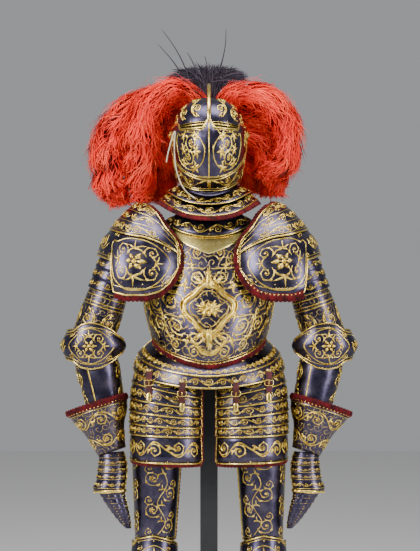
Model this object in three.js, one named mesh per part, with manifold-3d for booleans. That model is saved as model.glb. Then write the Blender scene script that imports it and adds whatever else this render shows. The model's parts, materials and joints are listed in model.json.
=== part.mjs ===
// A full suit of parade plate armour on a steel display stand, in millimetres.
// +Z is up, the suit faces -Y, and its left arm is on +X. The origin is on the floor, under the
// middle of the stand. Every plate is a thin wall laid on a smooth form: a stack of ring sections
// given by a short table, which a row gives for each height or station.
import * as THREE from "three";
import { mergeVertices } from "three/addons/utils/BufferGeometryUtils.js";
import Module from "manifold-3d";

const wasm = await Module();
wasm.setup();

// ---------------------------------------------------------------- driving sizes
const PLATE = 1.8; // wall of the steel plates
const VELVET = 4; // wall of the velvet borders
const LEATHER = 3; // wall of the hanging straps
const LAP = 8; // how far one lame passes under the next
const STEP = 3.8; // how far a lame's lower edge stands out over the next one
const BASE_THICK = 12; // the stand's floor plate
const HELM = { y: 5, z: 1715 }; // the visor's pivot line, which runs ear to ear
const RAD = Math.PI / 180;

// ---------------------------------------------------------------- materials
const finish = (color, roughness, metalness) =>
  new THREE.MeshStandardMaterial({ color, roughness, metalness });
const steel = finish(0x2c2a3a, 0.34, 0.9);
const velvet = finish(0x6d0d16, 0.95, 0);
const leather = finish(0x5a0f18, 0.7, 0);
const paleThong = finish(0xd8caa8, 0.7, 0);
const redPlume = finish(0xd8261c, 0.9, 0);
const blackPlume = finish(0x17121c, 0.85, 0);
const paintedSteel = finish(0x15161b, 0.5, 0.4);

// ---------------------------------------------------------------- small helpers
const lerp = (a, b, t) => a + (b - a) * t;
const steps = (from, to, count) =>
  Array.from({ length: count + 1 }, (_, i) => lerp(from, to, i / count));
const mirrored = (half) => [...half.map((v) => -v).reverse(), ...half.filter((v) => v !== 0)];

// Straight interpolation in a table of [key, value] rows.
function along(table, key) {
  if (key <= table[0][0]) return table[0][1];
  for (let i = 1; i < table.length; i++) {
    const [k1, v1] = table[i];
    const [k0, v0] = table[i - 1];
    if (key <= k1) return lerp(v0, v1, (key - k0) / (k1 - k0));
  }
  return table[table.length - 1][1];
}

// Smooth interpolation of every column of a table of rows sorted by their column s.
function section(rows, s) {
  let i = 0;
  while (i < rows.length - 2 && s > rows[i + 1].s) i++;
  const [a, b] = [rows[i], rows[i + 1]];
  const before = rows[i - 1] ?? a;
  const after = rows[i + 2] ?? b;
  const span = b.s - a.s;
  const t = Math.min(Math.max((s - a.s) / span, 0), 1);
  const out = {};
  for (const key of Object.keys(a)) {
    const slopeA = ((b[key] - before[key]) / (b.s - before.s)) * span;
    const slopeB = ((after[key] - a[key]) / (after.s - a.s)) * span;
    out[key] =
      a[key] * (2 * t ** 3 - 3 * t ** 2 + 1) +
      slopeA * (t ** 3 - 2 * t ** 2 + t) +
      b[key] * (3 * t ** 2 - 2 * t ** 3) +
      slopeB * (t ** 3 - t ** 2);
  }
  return out;
}

// A sine or cosine squared off to a superellipse of the given fullness (2 is a plain ellipse).
const full = (v, fullness) => Math.sign(v) * Math.abs(v) ** (2 / fullness);

// ---------------------------------------------------------------- forms
// A ring form gives the point at a turn (0 in front, 90 outwards on +X, 180 behind) of section s.
// Columns: s station; x, y, z the ring's centre; out, inn, front, back its four radii;
// zFront, zBack how far the ring rises or dips in front and behind; keel a crease in front.
// dip, when given, shapes the front's rise or dip as a power of the turn.
function ringForm(rows, { fullness = 2.3, frame = null, keelTurn = 45, dip = null } = {}) {
  const plain = { x: 0, y: 0, zFront: 0, zBack: 0, keel: 0 };
  const table = rows.map((row) => {
    const r = { ...plain, ...row };
    r.out = row.out ?? row.half;
    r.inn = row.inn ?? row.half;
    r.z = row.z ?? row.s;
    delete r.half;
    return r;
  });
  return (turn, s, lift = 0) => {
    const r = section(table, s);
    const [sin, cos] = [Math.sin(turn * RAD), Math.cos(turn * RAD)];
    const ahead = dip
      ? Math.max(0, 1 - Math.abs(turn / 90) ** dip)
      : Math.max(cos, 0) ** 2;
    const behind = Math.max(-cos, 0) ** 2;
    const crease = r.keel * Math.max(0, 1 - Math.abs(turn) / keelTurn);
    const wide = (sin > 0 ? r.out : r.inn) + lift;
    const deep = (cos > 0 ? r.front : r.back) + lift;
    const p = new THREE.Vector3(
      r.x + wide * full(sin, fullness),
      r.y - deep * full(cos, fullness) - crease,
      r.z + r.zFront * ahead + r.zBack * behind,
    );
    return frame ? frame(p) : p;
  };
}

// A limb's frame: local z runs down the limb from its start to its end, local x stays outwards.
function limbFrame(start, end) {
  const down = new THREE.Vector3(...end).sub(new THREE.Vector3(...start)).normalize();
  const back = new THREE.Vector3().crossVectors(new THREE.Vector3(1, 0, 0), down).negate();
  back.normalize();
  const outward = new THREE.Vector3().crossVectors(back, down).negate();
  if (outward.x < 0) outward.negate();
  return (p) =>
    new THREE.Vector3(...start)
      .addScaledVector(outward, p.x)
      .addScaledVector(back, p.y)
      .addScaledVector(down, p.z);
}

// A helmet form turns about the ear-to-ear line. rise is the angle above the front horizon, and
// side runs from -90 at one ear to 90 at the other. radius gives the profile down the middle.
function helmForm(radius, halfWidth, { keel = 0, keelSide = 30, fullness = 2.2 } = {}) {
  return (side, rise, lift = 0) => {
    const crease = keel * Math.max(0, 1 - Math.abs(side) / keelSide);
    const r = section(radius, rise).r + lift + crease;
    const reach = r * full(Math.cos(side * RAD), fullness);
    return new THREE.Vector3(
      (halfWidth + lift) * full(Math.sin(side * RAD), fullness),
      HELM.y - reach * Math.cos(rise * RAD),
      HELM.z + reach * Math.sin(rise * RAD),
    );
  };
}

// ---------------------------------------------------------------- solids
function closedGeometry(points, faces) {
  const g = new THREE.BufferGeometry();
  g.setAttribute(
    "position",
    new THREE.Float32BufferAttribute(points.flatMap((p) => [p.x, p.y, p.z]), 3),
  );
  g.setIndex(faces.flat());
  return g;
}

// A wall laid inside a grid of surface points: grid[row][column]. When closed, the last column
// joins the first. The side that faces away from the point inside becomes the outer face.
function wallGeometry(grid, thick, { closed = false, inside = null } = {}) {
  const rows = grid.length;
  const cols = grid[0].length;
  const col = (j) => (closed ? (j + cols) % cols : Math.min(Math.max(j, 0), cols - 1));
  const row = (i) => Math.min(Math.max(i, 0), rows - 1);
  const normals = grid.map((line, i) =>
    line.map((_, j) => {
      const across = grid[i][col(j + 1)].clone().sub(grid[i][col(j - 1)]);
      const downwards = grid[row(i + 1)][j].clone().sub(grid[row(i - 1)][j]);
      return across.cross(downwards).normalize();
    }),
  );
  const [mi, mj] = [rows >> 1, cols >> 1];
  const centre = inside ?? grid.flat().reduce((sum, p) => sum.add(p), new THREE.Vector3())
    .divideScalar(rows * cols);
  const outwards = Math.sign(normals[mi][mj].dot(grid[mi][mj].clone().sub(centre)));
  const outer = grid.flat().map((p) => p.clone());
  const inner = grid.flatMap((line, i) =>
    line.map((p, j) => p.clone().addScaledVector(normals[i][j], -outwards * thick)),
  );
  const n = rows * cols;
  const at = (i, j) => i * cols + col(j);
  const faces = [];
  const quad = (a, b, c, d) => faces.push([a, b, c], [a, c, d]);
  const cells = closed ? cols : cols - 1;
  for (let i = 0; i < rows - 1; i++) {
    for (let j = 0; j < cells; j++) {
      const [a, b, c, d] = [at(i, j), at(i, j + 1), at(i + 1, j + 1), at(i + 1, j)];
      quad(a, b, c, d);
      quad(n + d, n + c, n + b, n + a);
    }
  }
  for (let j = 0; j < cells; j++) {
    quad(at(0, j + 1), at(0, j), n + at(0, j), n + at(0, j + 1));
    quad(at(rows - 1, j), at(rows - 1, j + 1), n + at(rows - 1, j + 1), n + at(rows - 1, j));
  }
  if (!closed) {
    for (let i = 0; i < rows - 1; i++) {
      quad(at(i, 0), at(i + 1, 0), n + at(i + 1, 0), n + at(i, 0));
      quad(at(i + 1, cols - 1), at(i, cols - 1), n + at(i, cols - 1), n + at(i + 1, cols - 1));
    }
  }
  // Each face above turns the same way, so all are right or all are reversed.
  if (outwards < 0) faces.forEach((f) => f.reverse());
  return closedGeometry([...outer, ...inner], faces);
}

// A plate: turns are its columns, and at each turn it runs from top to bottom in rows shares.
// top and bottom are numbers or functions of the turn; lift(turn, share) raises it off the form.
function plate(form, turns, top, bottom, shares, more = {}) {
  const { thick = PLATE, lift = () => 0, turnAt = (turn) => turn, ...wall } = more;
  const edge = (e, turn) => (typeof e === "function" ? e(turn) : e);
  const grid = shares.map((q) =>
    turns.map((t) => {
      const s = lerp(edge(top, t), edge(bottom, t), q);
      return form(turnAt(t, q), s, lift(t, q));
    }),
  );
  return wallGeometry(grid, thick, wall);
}

// A border strip along an edge of a form: points at (turn, s) pairs, tucked in under the edge and
// reaching out past it, away from the point that lies inside the plate's outline. flatten keeps
// that share of its fore-and-aft lean.
function border(form, path, { tuck, reach, sink, thick, from, flatten = 0.2 }) {
  const step = 0.02;
  const centre = form(...from);
  const rows = path.map(([turn, s], i) => {
    const p = form(turn, s);
    const before = form(...path[Math.max(i - 1, 0)]);
    const after = form(...path[Math.min(i + 1, path.length - 1)]);
    const tangent = after.clone().sub(before).normalize();
    const across = form(turn + 1, s).sub(form(turn - 1, s));
    const downwards = form(turn, s + step).sub(form(turn, s - step));
    const normal = across.cross(downwards).normalize();
    if (normal.dot(p.clone().sub(new THREE.Vector3(p.x * 0.6, 0, 1250))) < 0) normal.negate();
    const away = new THREE.Vector3().crossVectors(tangent, normal).normalize();
    if (away.dot(p.clone().sub(centre)) < 0) away.negate();
    away.y *= flatten;
    away.normalize();
    const edge = p.clone().addScaledVector(normal, -sink);
    return [
      edge.clone().addScaledVector(away, -tuck),
      edge.clone().addScaledVector(away, reach),
    ];
  });
  return wallGeometry(rows, thick, { inside: new THREE.Vector3(rows[0][0].x, 60, 1300) });
}

const solidOf = (geometry) => {
  const bare = geometry.clone();
  bare.deleteAttribute("normal");
  bare.deleteAttribute("uv");
  const merged = mergeVertices(bare, 1e-3);
  return new wasm.Manifold(
    new wasm.Mesh({
      numProp: 3,
      vertProperties: merged.attributes.position.array,
      triVerts: new Uint32Array(merged.index.array),
    }),
  );
};
const geometryOf = (solid) => {
  const made = solid.getMesh();
  const g = new THREE.BufferGeometry();
  g.setAttribute("position", new THREE.BufferAttribute(made.vertProperties, 3));
  g.setIndex(new THREE.BufferAttribute(made.triVerts, 1));
  return g;
};
const joined = (...geometries) =>
  geometryOf(geometries.map(solidOf).reduce((sum, s) => sum.add(s)));
const placed = (geometry, x, y, z) => geometry.translate(x, y, z);

const suit = new THREE.Group();
function add(parent, name, geometry, material) {
  const mesh = new THREE.Mesh(geometry, material);
  mesh.name = name;
  parent.add(mesh);
  return mesh;
}

// ---------------------------------------------------------------- helmet
const SKULL = [
  { s: 8, r: 116 }, { s: 20, r: 119 }, { s: 45, r: 117 }, { s: 70, r: 110 }, { s: 90, r: 108 },
  { s: 110, r: 111 }, { s: 135, r: 120 }, { s: 160, r: 126 }, { s: 180, r: 127 },
  { s: 200, r: 130 }, { s: 215, r: 142 }, { s: 230, r: 168 }, { s: 245, r: 194 },
  { s: 258, r: 203 },
];
const VISOR = [
  { s: -50, r: 192 }, { s: -44, r: 190 }, { s: -30, r: 185 }, { s: -15, r: 176 },
  { s: 0, r: 163 }, { s: 5, r: 156 }, { s: 13, r: 143 }, { s: 22, r: 128 },
];
const BEVOR = [
  { s: -102, r: 203 }, { s: -90, r: 202 }, { s: -74, r: 198 }, { s: -66, r: 193 },
  { s: -59, r: 189 }, { s: -50, r: 188 }, { s: -44, r: 185.5 }, { s: -36, r: 182 },
];
const BROW = 11; // rise of the skull's front edge
const SKULL_END = [[0, 230], [20, 231], [35, 235], [45, 244], [51, 250], [58, 257], [90, 257]];
const VISOR_TOP = [[0, 13], [2.5, 13], [4, 3.2], [44, 3.2], [48, 15], [87, 22]];
const VISOR_BOTTOM = -44;
const BEVOR_TOP = -37;
const BEVOR_END = [
  [0, -59], [20, -61.5], [35, -64.5], [45, -69], [52, -80], [58, -97], [90, -97],
];
const COMB = [
  // rise, height over the skull
  [12, 3], [30, 12], [45, 17], [60, 23], [75, 32], [90, 41], [100, 44], [120, 41], [140, 32],
  [160, 21], [180, 10], [192, 3],
];
const PLUME_TUBE = { radius: 10, height: 70, y: 141, z: 1685 };
const insideHelm = new THREE.Vector3(0, HELM.y, HELM.z);

const skullForm = helmForm(SKULL, 102, { fullness: 2.3 });
const visorForm = helmForm(VISOR, 109.5, { keel: 6, keelSide: 26, fullness: 2.5 });
const bevorForm = helmForm(BEVOR, 106.2, { fullness: 2.5 });

// The comb is a ridge over the crown: broad where it meets the skull and narrow along its top.
function comb() {
  const [foot, crest] = [5, 1.6]; // half thicknesses
  const rings = COMB.map(([rise, height]) => {
    const at = (r, x) =>
      new THREE.Vector3(
        x,
        HELM.y - r * Math.cos(rise * RAD),
        HELM.z + r * Math.sin(rise * RAD),
      );
    const low = section(SKULL, rise).r - PLATE * 0.8;
    const high = low + height + PLATE * 0.8;
    return [at(low, -foot), at(high, -crest), at(high, crest), at(low, foot)];
  });
  const faces = [];
  rings.slice(1).forEach((_, i) => {
    for (let k = 0; k < 4; k++) {
      const [a, b] = [i * 4 + k, i * 4 + ((k + 1) % 4)];
      faces.push([a, b, b + 4], [a, b + 4, a + 4]);
    }
  });
  const last = (rings.length - 1) * 4;
  faces.push([0, 3, 2], [0, 2, 1], [last, last + 1, last + 2], [last, last + 2, last + 3]);
  return closedGeometry(rings.flat(), faces);
}

function helmet(parent) {
  const sides = mirrored([0, 8, 20, 34, 47, 60, 74, 87]);
  const shell = plate(skullForm, sides, BROW, (t) => along(SKULL_END, Math.abs(t)),
    steps(0, 1, 9), { inside: insideHelm });
  const tube = placed(
    new THREE.CylinderGeometry(PLUME_TUBE.radius, PLUME_TUBE.radius, PLUME_TUBE.height, 10)
      .rotateX(Math.PI / 2),
    0, PLUME_TUBE.y, PLUME_TUBE.z,
  );
  add(parent, "helmet_skull", joined(shell, comb(), tube), steel);

  const visorSides = mirrored([0, 2.5, 4, 18, 32, 44, 48, 62, 75, 87]);
  add(parent, "visor",
    plate(visorForm, visorSides, (t) => along(VISOR_TOP, Math.abs(t)), VISOR_BOTTOM,
      [0, 0.12, 0.4, 0.7, 1], { inside: insideHelm }), steel);
  const bevorSides = mirrored([0, 10, 22, 35, 45, 52, 58, 72, 87]);
  add(parent, "bevor",
    plate(bevorForm, bevorSides, BEVOR_TOP, (t) => along(BEVOR_END, Math.abs(t)),
      [0, 0.35, 0.7, 1], { inside: insideHelm }), steel);
}

// ---------------------------------------------------------------- neck
const COLLAR_UPPER = [
  { s: 0, half: 74, front: 82, back: 89, z: 1606, zFront: -60, zBack: -2 },
  { s: 0.4, half: 77, front: 85, back: 96, z: 1577, zFront: -39, zBack: 11 },
  { s: 1, half: 122, front: 126, back: 118, z: 1554, zFront: -42, zBack: 4 },
];
const COLLAR_LOWER = [
  { s: 0, half: 111, front: 113, back: 107, z: 1552, zFront: -42, zBack: 4 },
  { s: 1, half: 139, front: 152, back: 132, z: 1531, zFront: -52, zBack: -2 },
];
const COLLAR_VELVET = [
  { s: 0, half: 117, front: 124, back: 111, z: 1537, zFront: -46, zBack: -2 },
  { s: 1, half: 131, front: 142, back: 124, z: 1519, zFront: -60, zBack: -4 },
];
const GORGET = [
  { s: 0, half: 84, front: 86, back: 84, z: 1508, zFront: -8, zBack: 10 },
  { s: 1, half: 96, front: 96, back: 92, z: 1488, zFront: -20, zBack: 4 },
  { s: 2, half: 130, front: 112, back: 122, z: 1468, zFront: -45, zBack: -38 },
];
const fullTurn = (columns) => steps(0, 360, columns).slice(0, -1);
const onAxis = (z) => ({ closed: true, inside: new THREE.Vector3(0, 0, z) });

function neck(parent) {
  const turns = fullTurn(16);
  add(parent, "collar_upper",
    plate(ringForm(COLLAR_UPPER), turns, 0, 1, [0, 0.4, 1], onAxis(1540)), steel);
  add(parent, "collar_lower",
    plate(ringForm(COLLAR_LOWER), turns, 0, 1, [0, 1], onAxis(1500)), steel);
  add(parent, "collar_velvet",
    plate(ringForm(COLLAR_VELVET), turns, 0, 1, [0, 1], { ...onAxis(1500), thick: VELVET }),
    velvet);
  add(parent, "gorget",
    plate(ringForm(GORGET), turns, 0, 2, [0, 0.3, 0.62, 1], onAxis(1480)), steel);
}

// ---------------------------------------------------------------- cuirass
const TRUNK = [
  { s: 1050, half: 148, front: 150, back: 100, keel: 9 },
  { s: 1095, half: 156, front: 160, back: 104, keel: 11 },
  { s: 1138, half: 165, front: 163, back: 108, keel: 11 },
  { s: 1180, half: 176, front: 160, back: 114, keel: 10 },
  { s: 1235, half: 187, front: 153, back: 124, keel: 9 },
  { s: 1290, half: 190, front: 142, back: 129, keel: 8 },
  { s: 1340, half: 182, front: 129, back: 129, keel: 7 },
  { s: 1390, half: 163, front: 113, back: 126, keel: 6 },
  { s: 1440, half: 132, front: 92, back: 112, keel: 4 },
  { s: 1475, half: 108, front: 76, back: 96, keel: 2 },
];
const trunkForm = ringForm(TRUNK, { keelTurn: 35 });
// Half the turn that each plate covers, by share of its height from the top down.
const BREAST_REACH = [[0, 60], [0.15, 58], [0.3, 62], [0.45, 78], [0.55, 86], [1, 86]];
const BACK_REACH = [[0, 60], [0.2, 60], [0.35, 72], [0.5, 88], [0.6, 91.5], [1, 91.5]];
const breastTop = (t) => 1428 + 45 * Math.abs(t) ** 2;
const breastBottom = (t) => 1065 + 80 * Math.abs(t) ** 1.4;
const backTop = (t) => 1440 + 22 * Math.abs(t) ** 2;
const backBottom = (t) => 1132 + 6 * Math.abs(t);

function cuirass(parent) {
  const shares = mirrored([0, 0.08, 0.25, 0.45, 0.65, 0.84, 1]);
  const inside = new THREE.Vector3(0, 0, 1250);
  add(parent, "breastplate",
    plate(trunkForm, shares, breastTop, breastBottom, steps(0, 1, 8), {
      inside,
      turnAt: (t, q) => t * along(BREAST_REACH, q),
    }), steel);
  add(parent, "backplate",
    plate(trunkForm, mirrored([0, 0.2, 0.42, 0.62, 0.82, 1]), backTop, backBottom,
      steps(0, 1, 7), {
        inside,
        turnAt: (t, q) => 180 + t * along(BACK_REACH, q),
      }), steel);
}

// ---------------------------------------------------------------- skirt: fauld, culet, tassets
const FAULD = [
  { s: 0, half: 153, front: 146, back: 96, z: 1152, zFront: -71, zBack: -4 },
  { s: 0.1, half: 155, front: 148, back: 98, z: 1136, zFront: -72, zBack: -4 },
  { s: 0.25, half: 174, front: 164, back: 116, z: 1119, zFront: -69, zBack: -4 },
  { s: 0.5, half: 195, front: 173, back: 138, z: 1098, zFront: -63, zBack: -18 },
  { s: 0.75, half: 208, front: 178, back: 152, z: 1076, zFront: -59, zBack: -36 },
  { s: 1, half: 217, front: 182, back: 162, z: 1053, zFront: -54, zBack: -53 },
];
const FAULD_HALF = 88; // half the turn of the front lames
const fauldForm = ringForm(FAULD, { dip: 1.4 });
const TASSET = [
  { s: 768, x: 118, y: 4, out: 104, inn: 112, front: 146, back: 100 },
  { s: 830, x: 118, y: 4, out: 106, inn: 112, front: 145, back: 98 },
  { s: 900, x: 118, y: 4, out: 107, inn: 112, front: 142, back: 96 },
  { s: 957, x: 118, y: 4, out: 105, inn: 112, front: 140, back: 94 },
  { s: 1010, x: 118, y: 4, out: 100, inn: 112, front: 128, back: 92 },
  { s: 1053, x: 118, y: 4, out: 84, inn: 112, front: 110, back: 84 },
  { s: 1080, x: 118, y: 4, out: 72, inn: 110, front: 98, back: 78 },
];
const TASSET_TURNS = [-54, -38, -20, 0, 20, 40, 60, 80, 104];
// Height of each lame's lower edge, beside the fork and at the hip. The first row is the top.
const TASSET_EDGES = [
  { fork: 1012, hip: 1068 },
  { fork: 967, hip: 1010 },
  { fork: 938, hip: 965 },
  { fork: 909, hip: 930 },
  { fork: 882, hip: 895 },
  { fork: 858, hip: 865 },
  { fork: 784, hip: 790 },
];
const tassetForm = ringForm(TASSET, { fullness: 2.6 });
// A lame's edge is straight when seen from in front, so its height follows x.
const FORK_X = 27;
const HIP_X = 227;
const tassetEdge = (k) => (turn) => {
  const x = tassetForm(turn, TASSET_EDGES[k].fork).x;
  return lerp(TASSET_EDGES[k].fork, TASSET_EDGES[k].hip, (x - FORK_X) / (HIP_X - FORK_X));
};

function skirt(parent) {
  const inside = new THREE.Vector3(0, 0, 1080);
  const turns = steps(-FAULD_HALF, FAULD_HALF, 12);
  add(parent, "fauld_upper",
    plate(fauldForm, turns, 0, 0.56, [0, 0.2, 0.5, 1],
      { inside, lift: (t, q) => 1.7 * STEP * q ** 2 }), steel);
  add(parent, "fauld_lower",
    plate(fauldForm, turns, 0.5, 1, [0, 0.5, 1], { inside }), steel);
  add(parent, "culet",
    plate(fauldForm, steps(92, 268, 10), 0, 1, [0, 0.1, 0.3, 0.6, 1], { inside }), steel);
}

function tasset(parent, side) {
  for (let k = 1; k < TASSET_EDGES.length; k++) {
    const top = k === 1 ? tassetEdge(0) : (t) => tassetEdge(k - 1)(t) + LAP;
    add(parent, `tasset_lame_${k}_${side}`,
      plate(tassetForm, TASSET_TURNS, top, tassetEdge(k), k === 1 ? [0, 0.5, 1] : [0, 1], {
        inside: new THREE.Vector3(118, 4, 900),
        lift: (t, q) => STEP * q,
      }), steel);
  }
}

// Two straps hang each tasset from the fauld's lower edge and lie on its upper lames.
const STRAPS = [
  // hem is the height of the fauld's lower edge behind the strap
  { name: "inner", x: 75, top: 1024, hem: 1003, bottom: 929 },
  { name: "outer", x: 168, top: 1052, hem: 1020, bottom: 957 },
];
const STRAP_WIDTH = 17;
function strapPoint(x, z, z0, z1) {
  // The strap leaves the fauld's face and comes down to lie just off the tasset.
  const surface = (form, from, to, s) => {
    let [lo, hi] = [from, to];
    for (let i = 0; i < 30; i++) {
      const mid = (lo + hi) / 2;
      if (form(mid, s).x < x) lo = mid;
      else hi = mid;
    }
    return form(lo, s).y;
  };
  const onTasset = surface(tassetForm, -54, 90, Math.min(z, 1053)) - STEP - LEATHER - 2;
  const onFauld = surface(fauldForm, 0, 90, 1) - LEATHER - 3.5;
  const share = Math.min(Math.max((z - z0) / (z1 - z0), 0), 1);
  return new THREE.Vector3(x, lerp(onTasset, onFauld, share), z);
}
function straps(parent, side) {
  for (const { name, x, top, hem, bottom } of STRAPS) {
    const heights = [top, hem - 6, ...steps(hem - 18, bottom, 3)];
    const rows = heights.map((z) =>
      [-0.5, 0.5].map((w) => strapPoint(x + w * STRAP_WIDTH, z, bottom + 28, hem - 6)),
    );
    add(parent, `tasset_strap_${name}_${side}`,
      wallGeometry(rows, LEATHER, { inside: new THREE.Vector3(x, 0, bottom) }), leather);
  }
}

// ---------------------------------------------------------------- pauldrons
const PAULDRON = [
  { s: 0, z: 1523, x: 172, out: 10, inn: 10, front: 12, back: 12 },
  { s: 1, z: 1511, x: 176, out: 40, inn: 40, front: 50, back: 48 },
  { s: 2, z: 1484, x: 182, out: 65, inn: 78, front: 92, back: 88 },
  { s: 3, z: 1449, x: 186, out: 91, inn: 108, front: 126, back: 120 },
  { s: 4, z: 1414, x: 190, out: 115, inn: 135, front: 150, back: 139 },
  { s: 5, z: 1371, x: 194, out: 126, inn: 150, front: 169, back: 152 },
  { s: 6, z: 1320, x: 196, out: 130, inn: 152, front: 181, back: 159 },
  { s: 7, z: 1258, x: 198, out: 128, inn: 145, front: 180, back: 155 },
];
const pauldronForm = ringForm(PAULDRON, { fullness: 2.6 });
// Edges by turn: the neck edge, the line where the upper lame laps the main plate, the hem.
const PAULDRON_NECK = [
  [-43, 4.7], [-38.7, 4.0], [-28, 3.0], [-20, 1.9], [0, 1.0], [30, 0.6], [90, 0.3],
  [150, 0.6], [180, 1.0], [196, 1.9], [204, 3.0], [211, 4.0], [215, 4.7],
];
const PAULDRON_BAND = [
  [-43, 4.9], [-30, 4.5], [0, 3.7], [30, 3.35], [60, 3.1], [90, 3.0], [120, 3.1],
  [150, 3.35], [180, 3.7], [204, 4.4], [215, 4.9],
];
const PAULDRON_HEM = [
  [-43, 5.6], [-37, 6.05], [-29, 6.5], [-18, 6.85], [-5, 7.0], [10, 7.0], [27, 6.85],
  [33, 5.3], [60, 5.05], [90, 5.0], [120, 5.05], [147, 5.3], [153, 6.6], [180, 6.7],
  [200, 6.4], [215, 5.6],
];
const PAULDRON_TURNS = [
  -43, -38.7, -28, -20, -8, 8, 27, 33, 60, 90, 120, 147, 153, 180, 196, 204, 211, 215,
];
const PAULDRON_EDGE = [
  // the velvet's path: up the front hem and neck edge, over the shoulder, down behind
  [24, 6.85], [10, 7.0], [-5, 7.0], [-18, 6.85], [-29, 6.5], [-37, 6.05], [-43, 5.6],
  [-43, 4.8], [-38.7, 4.0], [-28, 3.0], [-20, 1.9], [0, 1.0], [45, 0.5], [90, 0.3],
  [135, 0.5], [180, 1.0], [196, 1.9], [204, 3.0], [211, 4.0], [215, 4.8], [215, 5.5],
];
const UPPER_LIFT = 4.4; // the upper lame lies over the main plate

function pauldron(parent, side) {
  const inside = new THREE.Vector3(196, 0, 1380);
  add(parent, `pauldron_upper_${side}`,
    plate(pauldronForm, PAULDRON_TURNS, (t) => along(PAULDRON_NECK, t),
      (t) => along(PAULDRON_BAND, t) + 0.15, [0, 0.4, 0.75, 1],
      { inside, lift: () => UPPER_LIFT }), steel);
  add(parent, `pauldron_main_${side}`,
    plate(pauldronForm, PAULDRON_TURNS, (t) => along(PAULDRON_BAND, t),
      (t) => along(PAULDRON_HEM, t), steps(0, 1, 4), { inside }), steel);
  add(parent, `pauldron_velvet_${side}`,
    border(pauldronForm, PAULDRON_EDGE,
      { tuck: 4, reach: 17, sink: PLATE + 1.8, thick: VELVET, from: [60, 4.5] }), velvet);
}

// ---------------------------------------------------------------- arms
const UPPER_ARM = limbFrame([262, 0, 1345], [338, 5, 1112]);
const FOREARM = limbFrame([330, 5, 1105], [265, -28, 796]);
const CUFF_AXIS = limbFrame([316, -20, 931], [274, -34, 799]);
const ELBOW = new THREE.Vector3(338, 5, 1112);

// The pauldron's arm lames: each flares a little over the next.
const ARM_LAME = [
  { s: -34, out: 54, inn: 57, front: 60, back: 60 },
  { s: 20, out: 57, inn: 57, front: 59, back: 59 },
  { s: 90, out: 59, inn: 58, front: 59, back: 59 },
];
const ARM_LAME_ENDS = [-34, -4, 26, 56, 86];
const UPPER_CANNON = [
  { s: 80, out: 53, inn: 53, front: 53, back: 53 },
  { s: 100, out: 58, inn: 57, front: 57, back: 57 },
  { s: 150, out: 61, inn: 59, front: 56, back: 59 },
  { s: 214, out: 63, inn: 58, front: 54, back: 61 },
];
const COUTER = [
  { s: -66, out: 66, inn: 80, front: 68, back: 66 },
  { s: -42, out: 70, inn: 88, front: 74, back: 73 },
  { s: -20, out: 81, inn: 98, front: 78, back: 79 },
  { s: 0, out: 89, inn: 106, front: 79, back: 82 },
  { s: 20, out: 82, inn: 98, front: 78, back: 79 },
  { s: 42, out: 73, inn: 88, front: 74, back: 73 },
  { s: 66, out: 68, inn: 82, front: 69, back: 66 },
];
// Half the couter's height by turn: a wing over the bend of the arm, a cop at the elbow.
const COUTER_HALF = [
  [-72, 14], [-62, 24], [-45, 44], [-20, 61], [0, 66], [20, 60], [40, 43], [60, 38],
  [90, 42], [120, 44], [150, 36], [172, 20], [182, 14],
];
const COUTER_TURNS = [-72, -62, -45, -20, 0, 20, 40, 60, 90, 120, 150, 172, 182];
const LOWER_CANNON = [
  { s: 40, out: 64, inn: 61, front: 54, back: 58 },
  { s: 66, out: 64, inn: 61, front: 55, back: 58 },
  { s: 110, out: 60, inn: 58, front: 54, back: 56 },
  { s: 155, out: 56, inn: 55, front: 53, back: 53 },
  { s: 190, out: 51, inn: 50, front: 48, back: 48 },
];

function arm(parent, side) {
  const lames = [];
  for (let k = 0; k < ARM_LAME_ENDS.length - 1; k++) {
    lames.push([ARM_LAME_ENDS[k], 0], [ARM_LAME_ENDS[k + 1] - 1.5, STEP]);
  }
  const lameForm = ringForm(ARM_LAME, { fullness: 2.1, frame: UPPER_ARM });
  const turns = steps(-75, 255, 11);
  const grid = lames.map(([s, lift]) => turns.map((t) => lameForm(t, s, lift)));
  add(parent, `arm_lames_${side}`,
    wallGeometry(grid, PLATE, { inside: UPPER_ARM(new THREE.Vector3(0, 0, 30)) }), steel);

  const rings = fullTurn(12);
  add(parent, `upper_cannon_${side}`,
    plate(ringForm(UPPER_CANNON, { fullness: 2.1, frame: UPPER_ARM }), rings, 80, 214,
      [0, 0.16, 0.55, 1], { closed: true, inside: UPPER_ARM(new THREE.Vector3(0, 0, 140)) }),
    steel);
  const couterForm = ringForm(COUTER, {
    fullness: 2.2,
    frame: (p) => new THREE.Vector3(ELBOW.x + p.x, ELBOW.y + p.y, ELBOW.z - p.z),
  });
  add(parent, `couter_${side}`,
    plate(couterForm, COUTER_TURNS, (t) => -along(COUTER_HALF, t),
      (t) => along(COUTER_HALF, t), steps(0, 1, 6), { inside: ELBOW }), steel);
  add(parent, `lower_cannon_${side}`,
    plate(ringForm(LOWER_CANNON, { fullness: 2.1, frame: FOREARM }), rings, 40, 190,
      [0, 0.3, 0.65, 1], { closed: true, inside: FOREARM(new THREE.Vector3(0, 0, 100)) }),
    steel);
}

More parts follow.
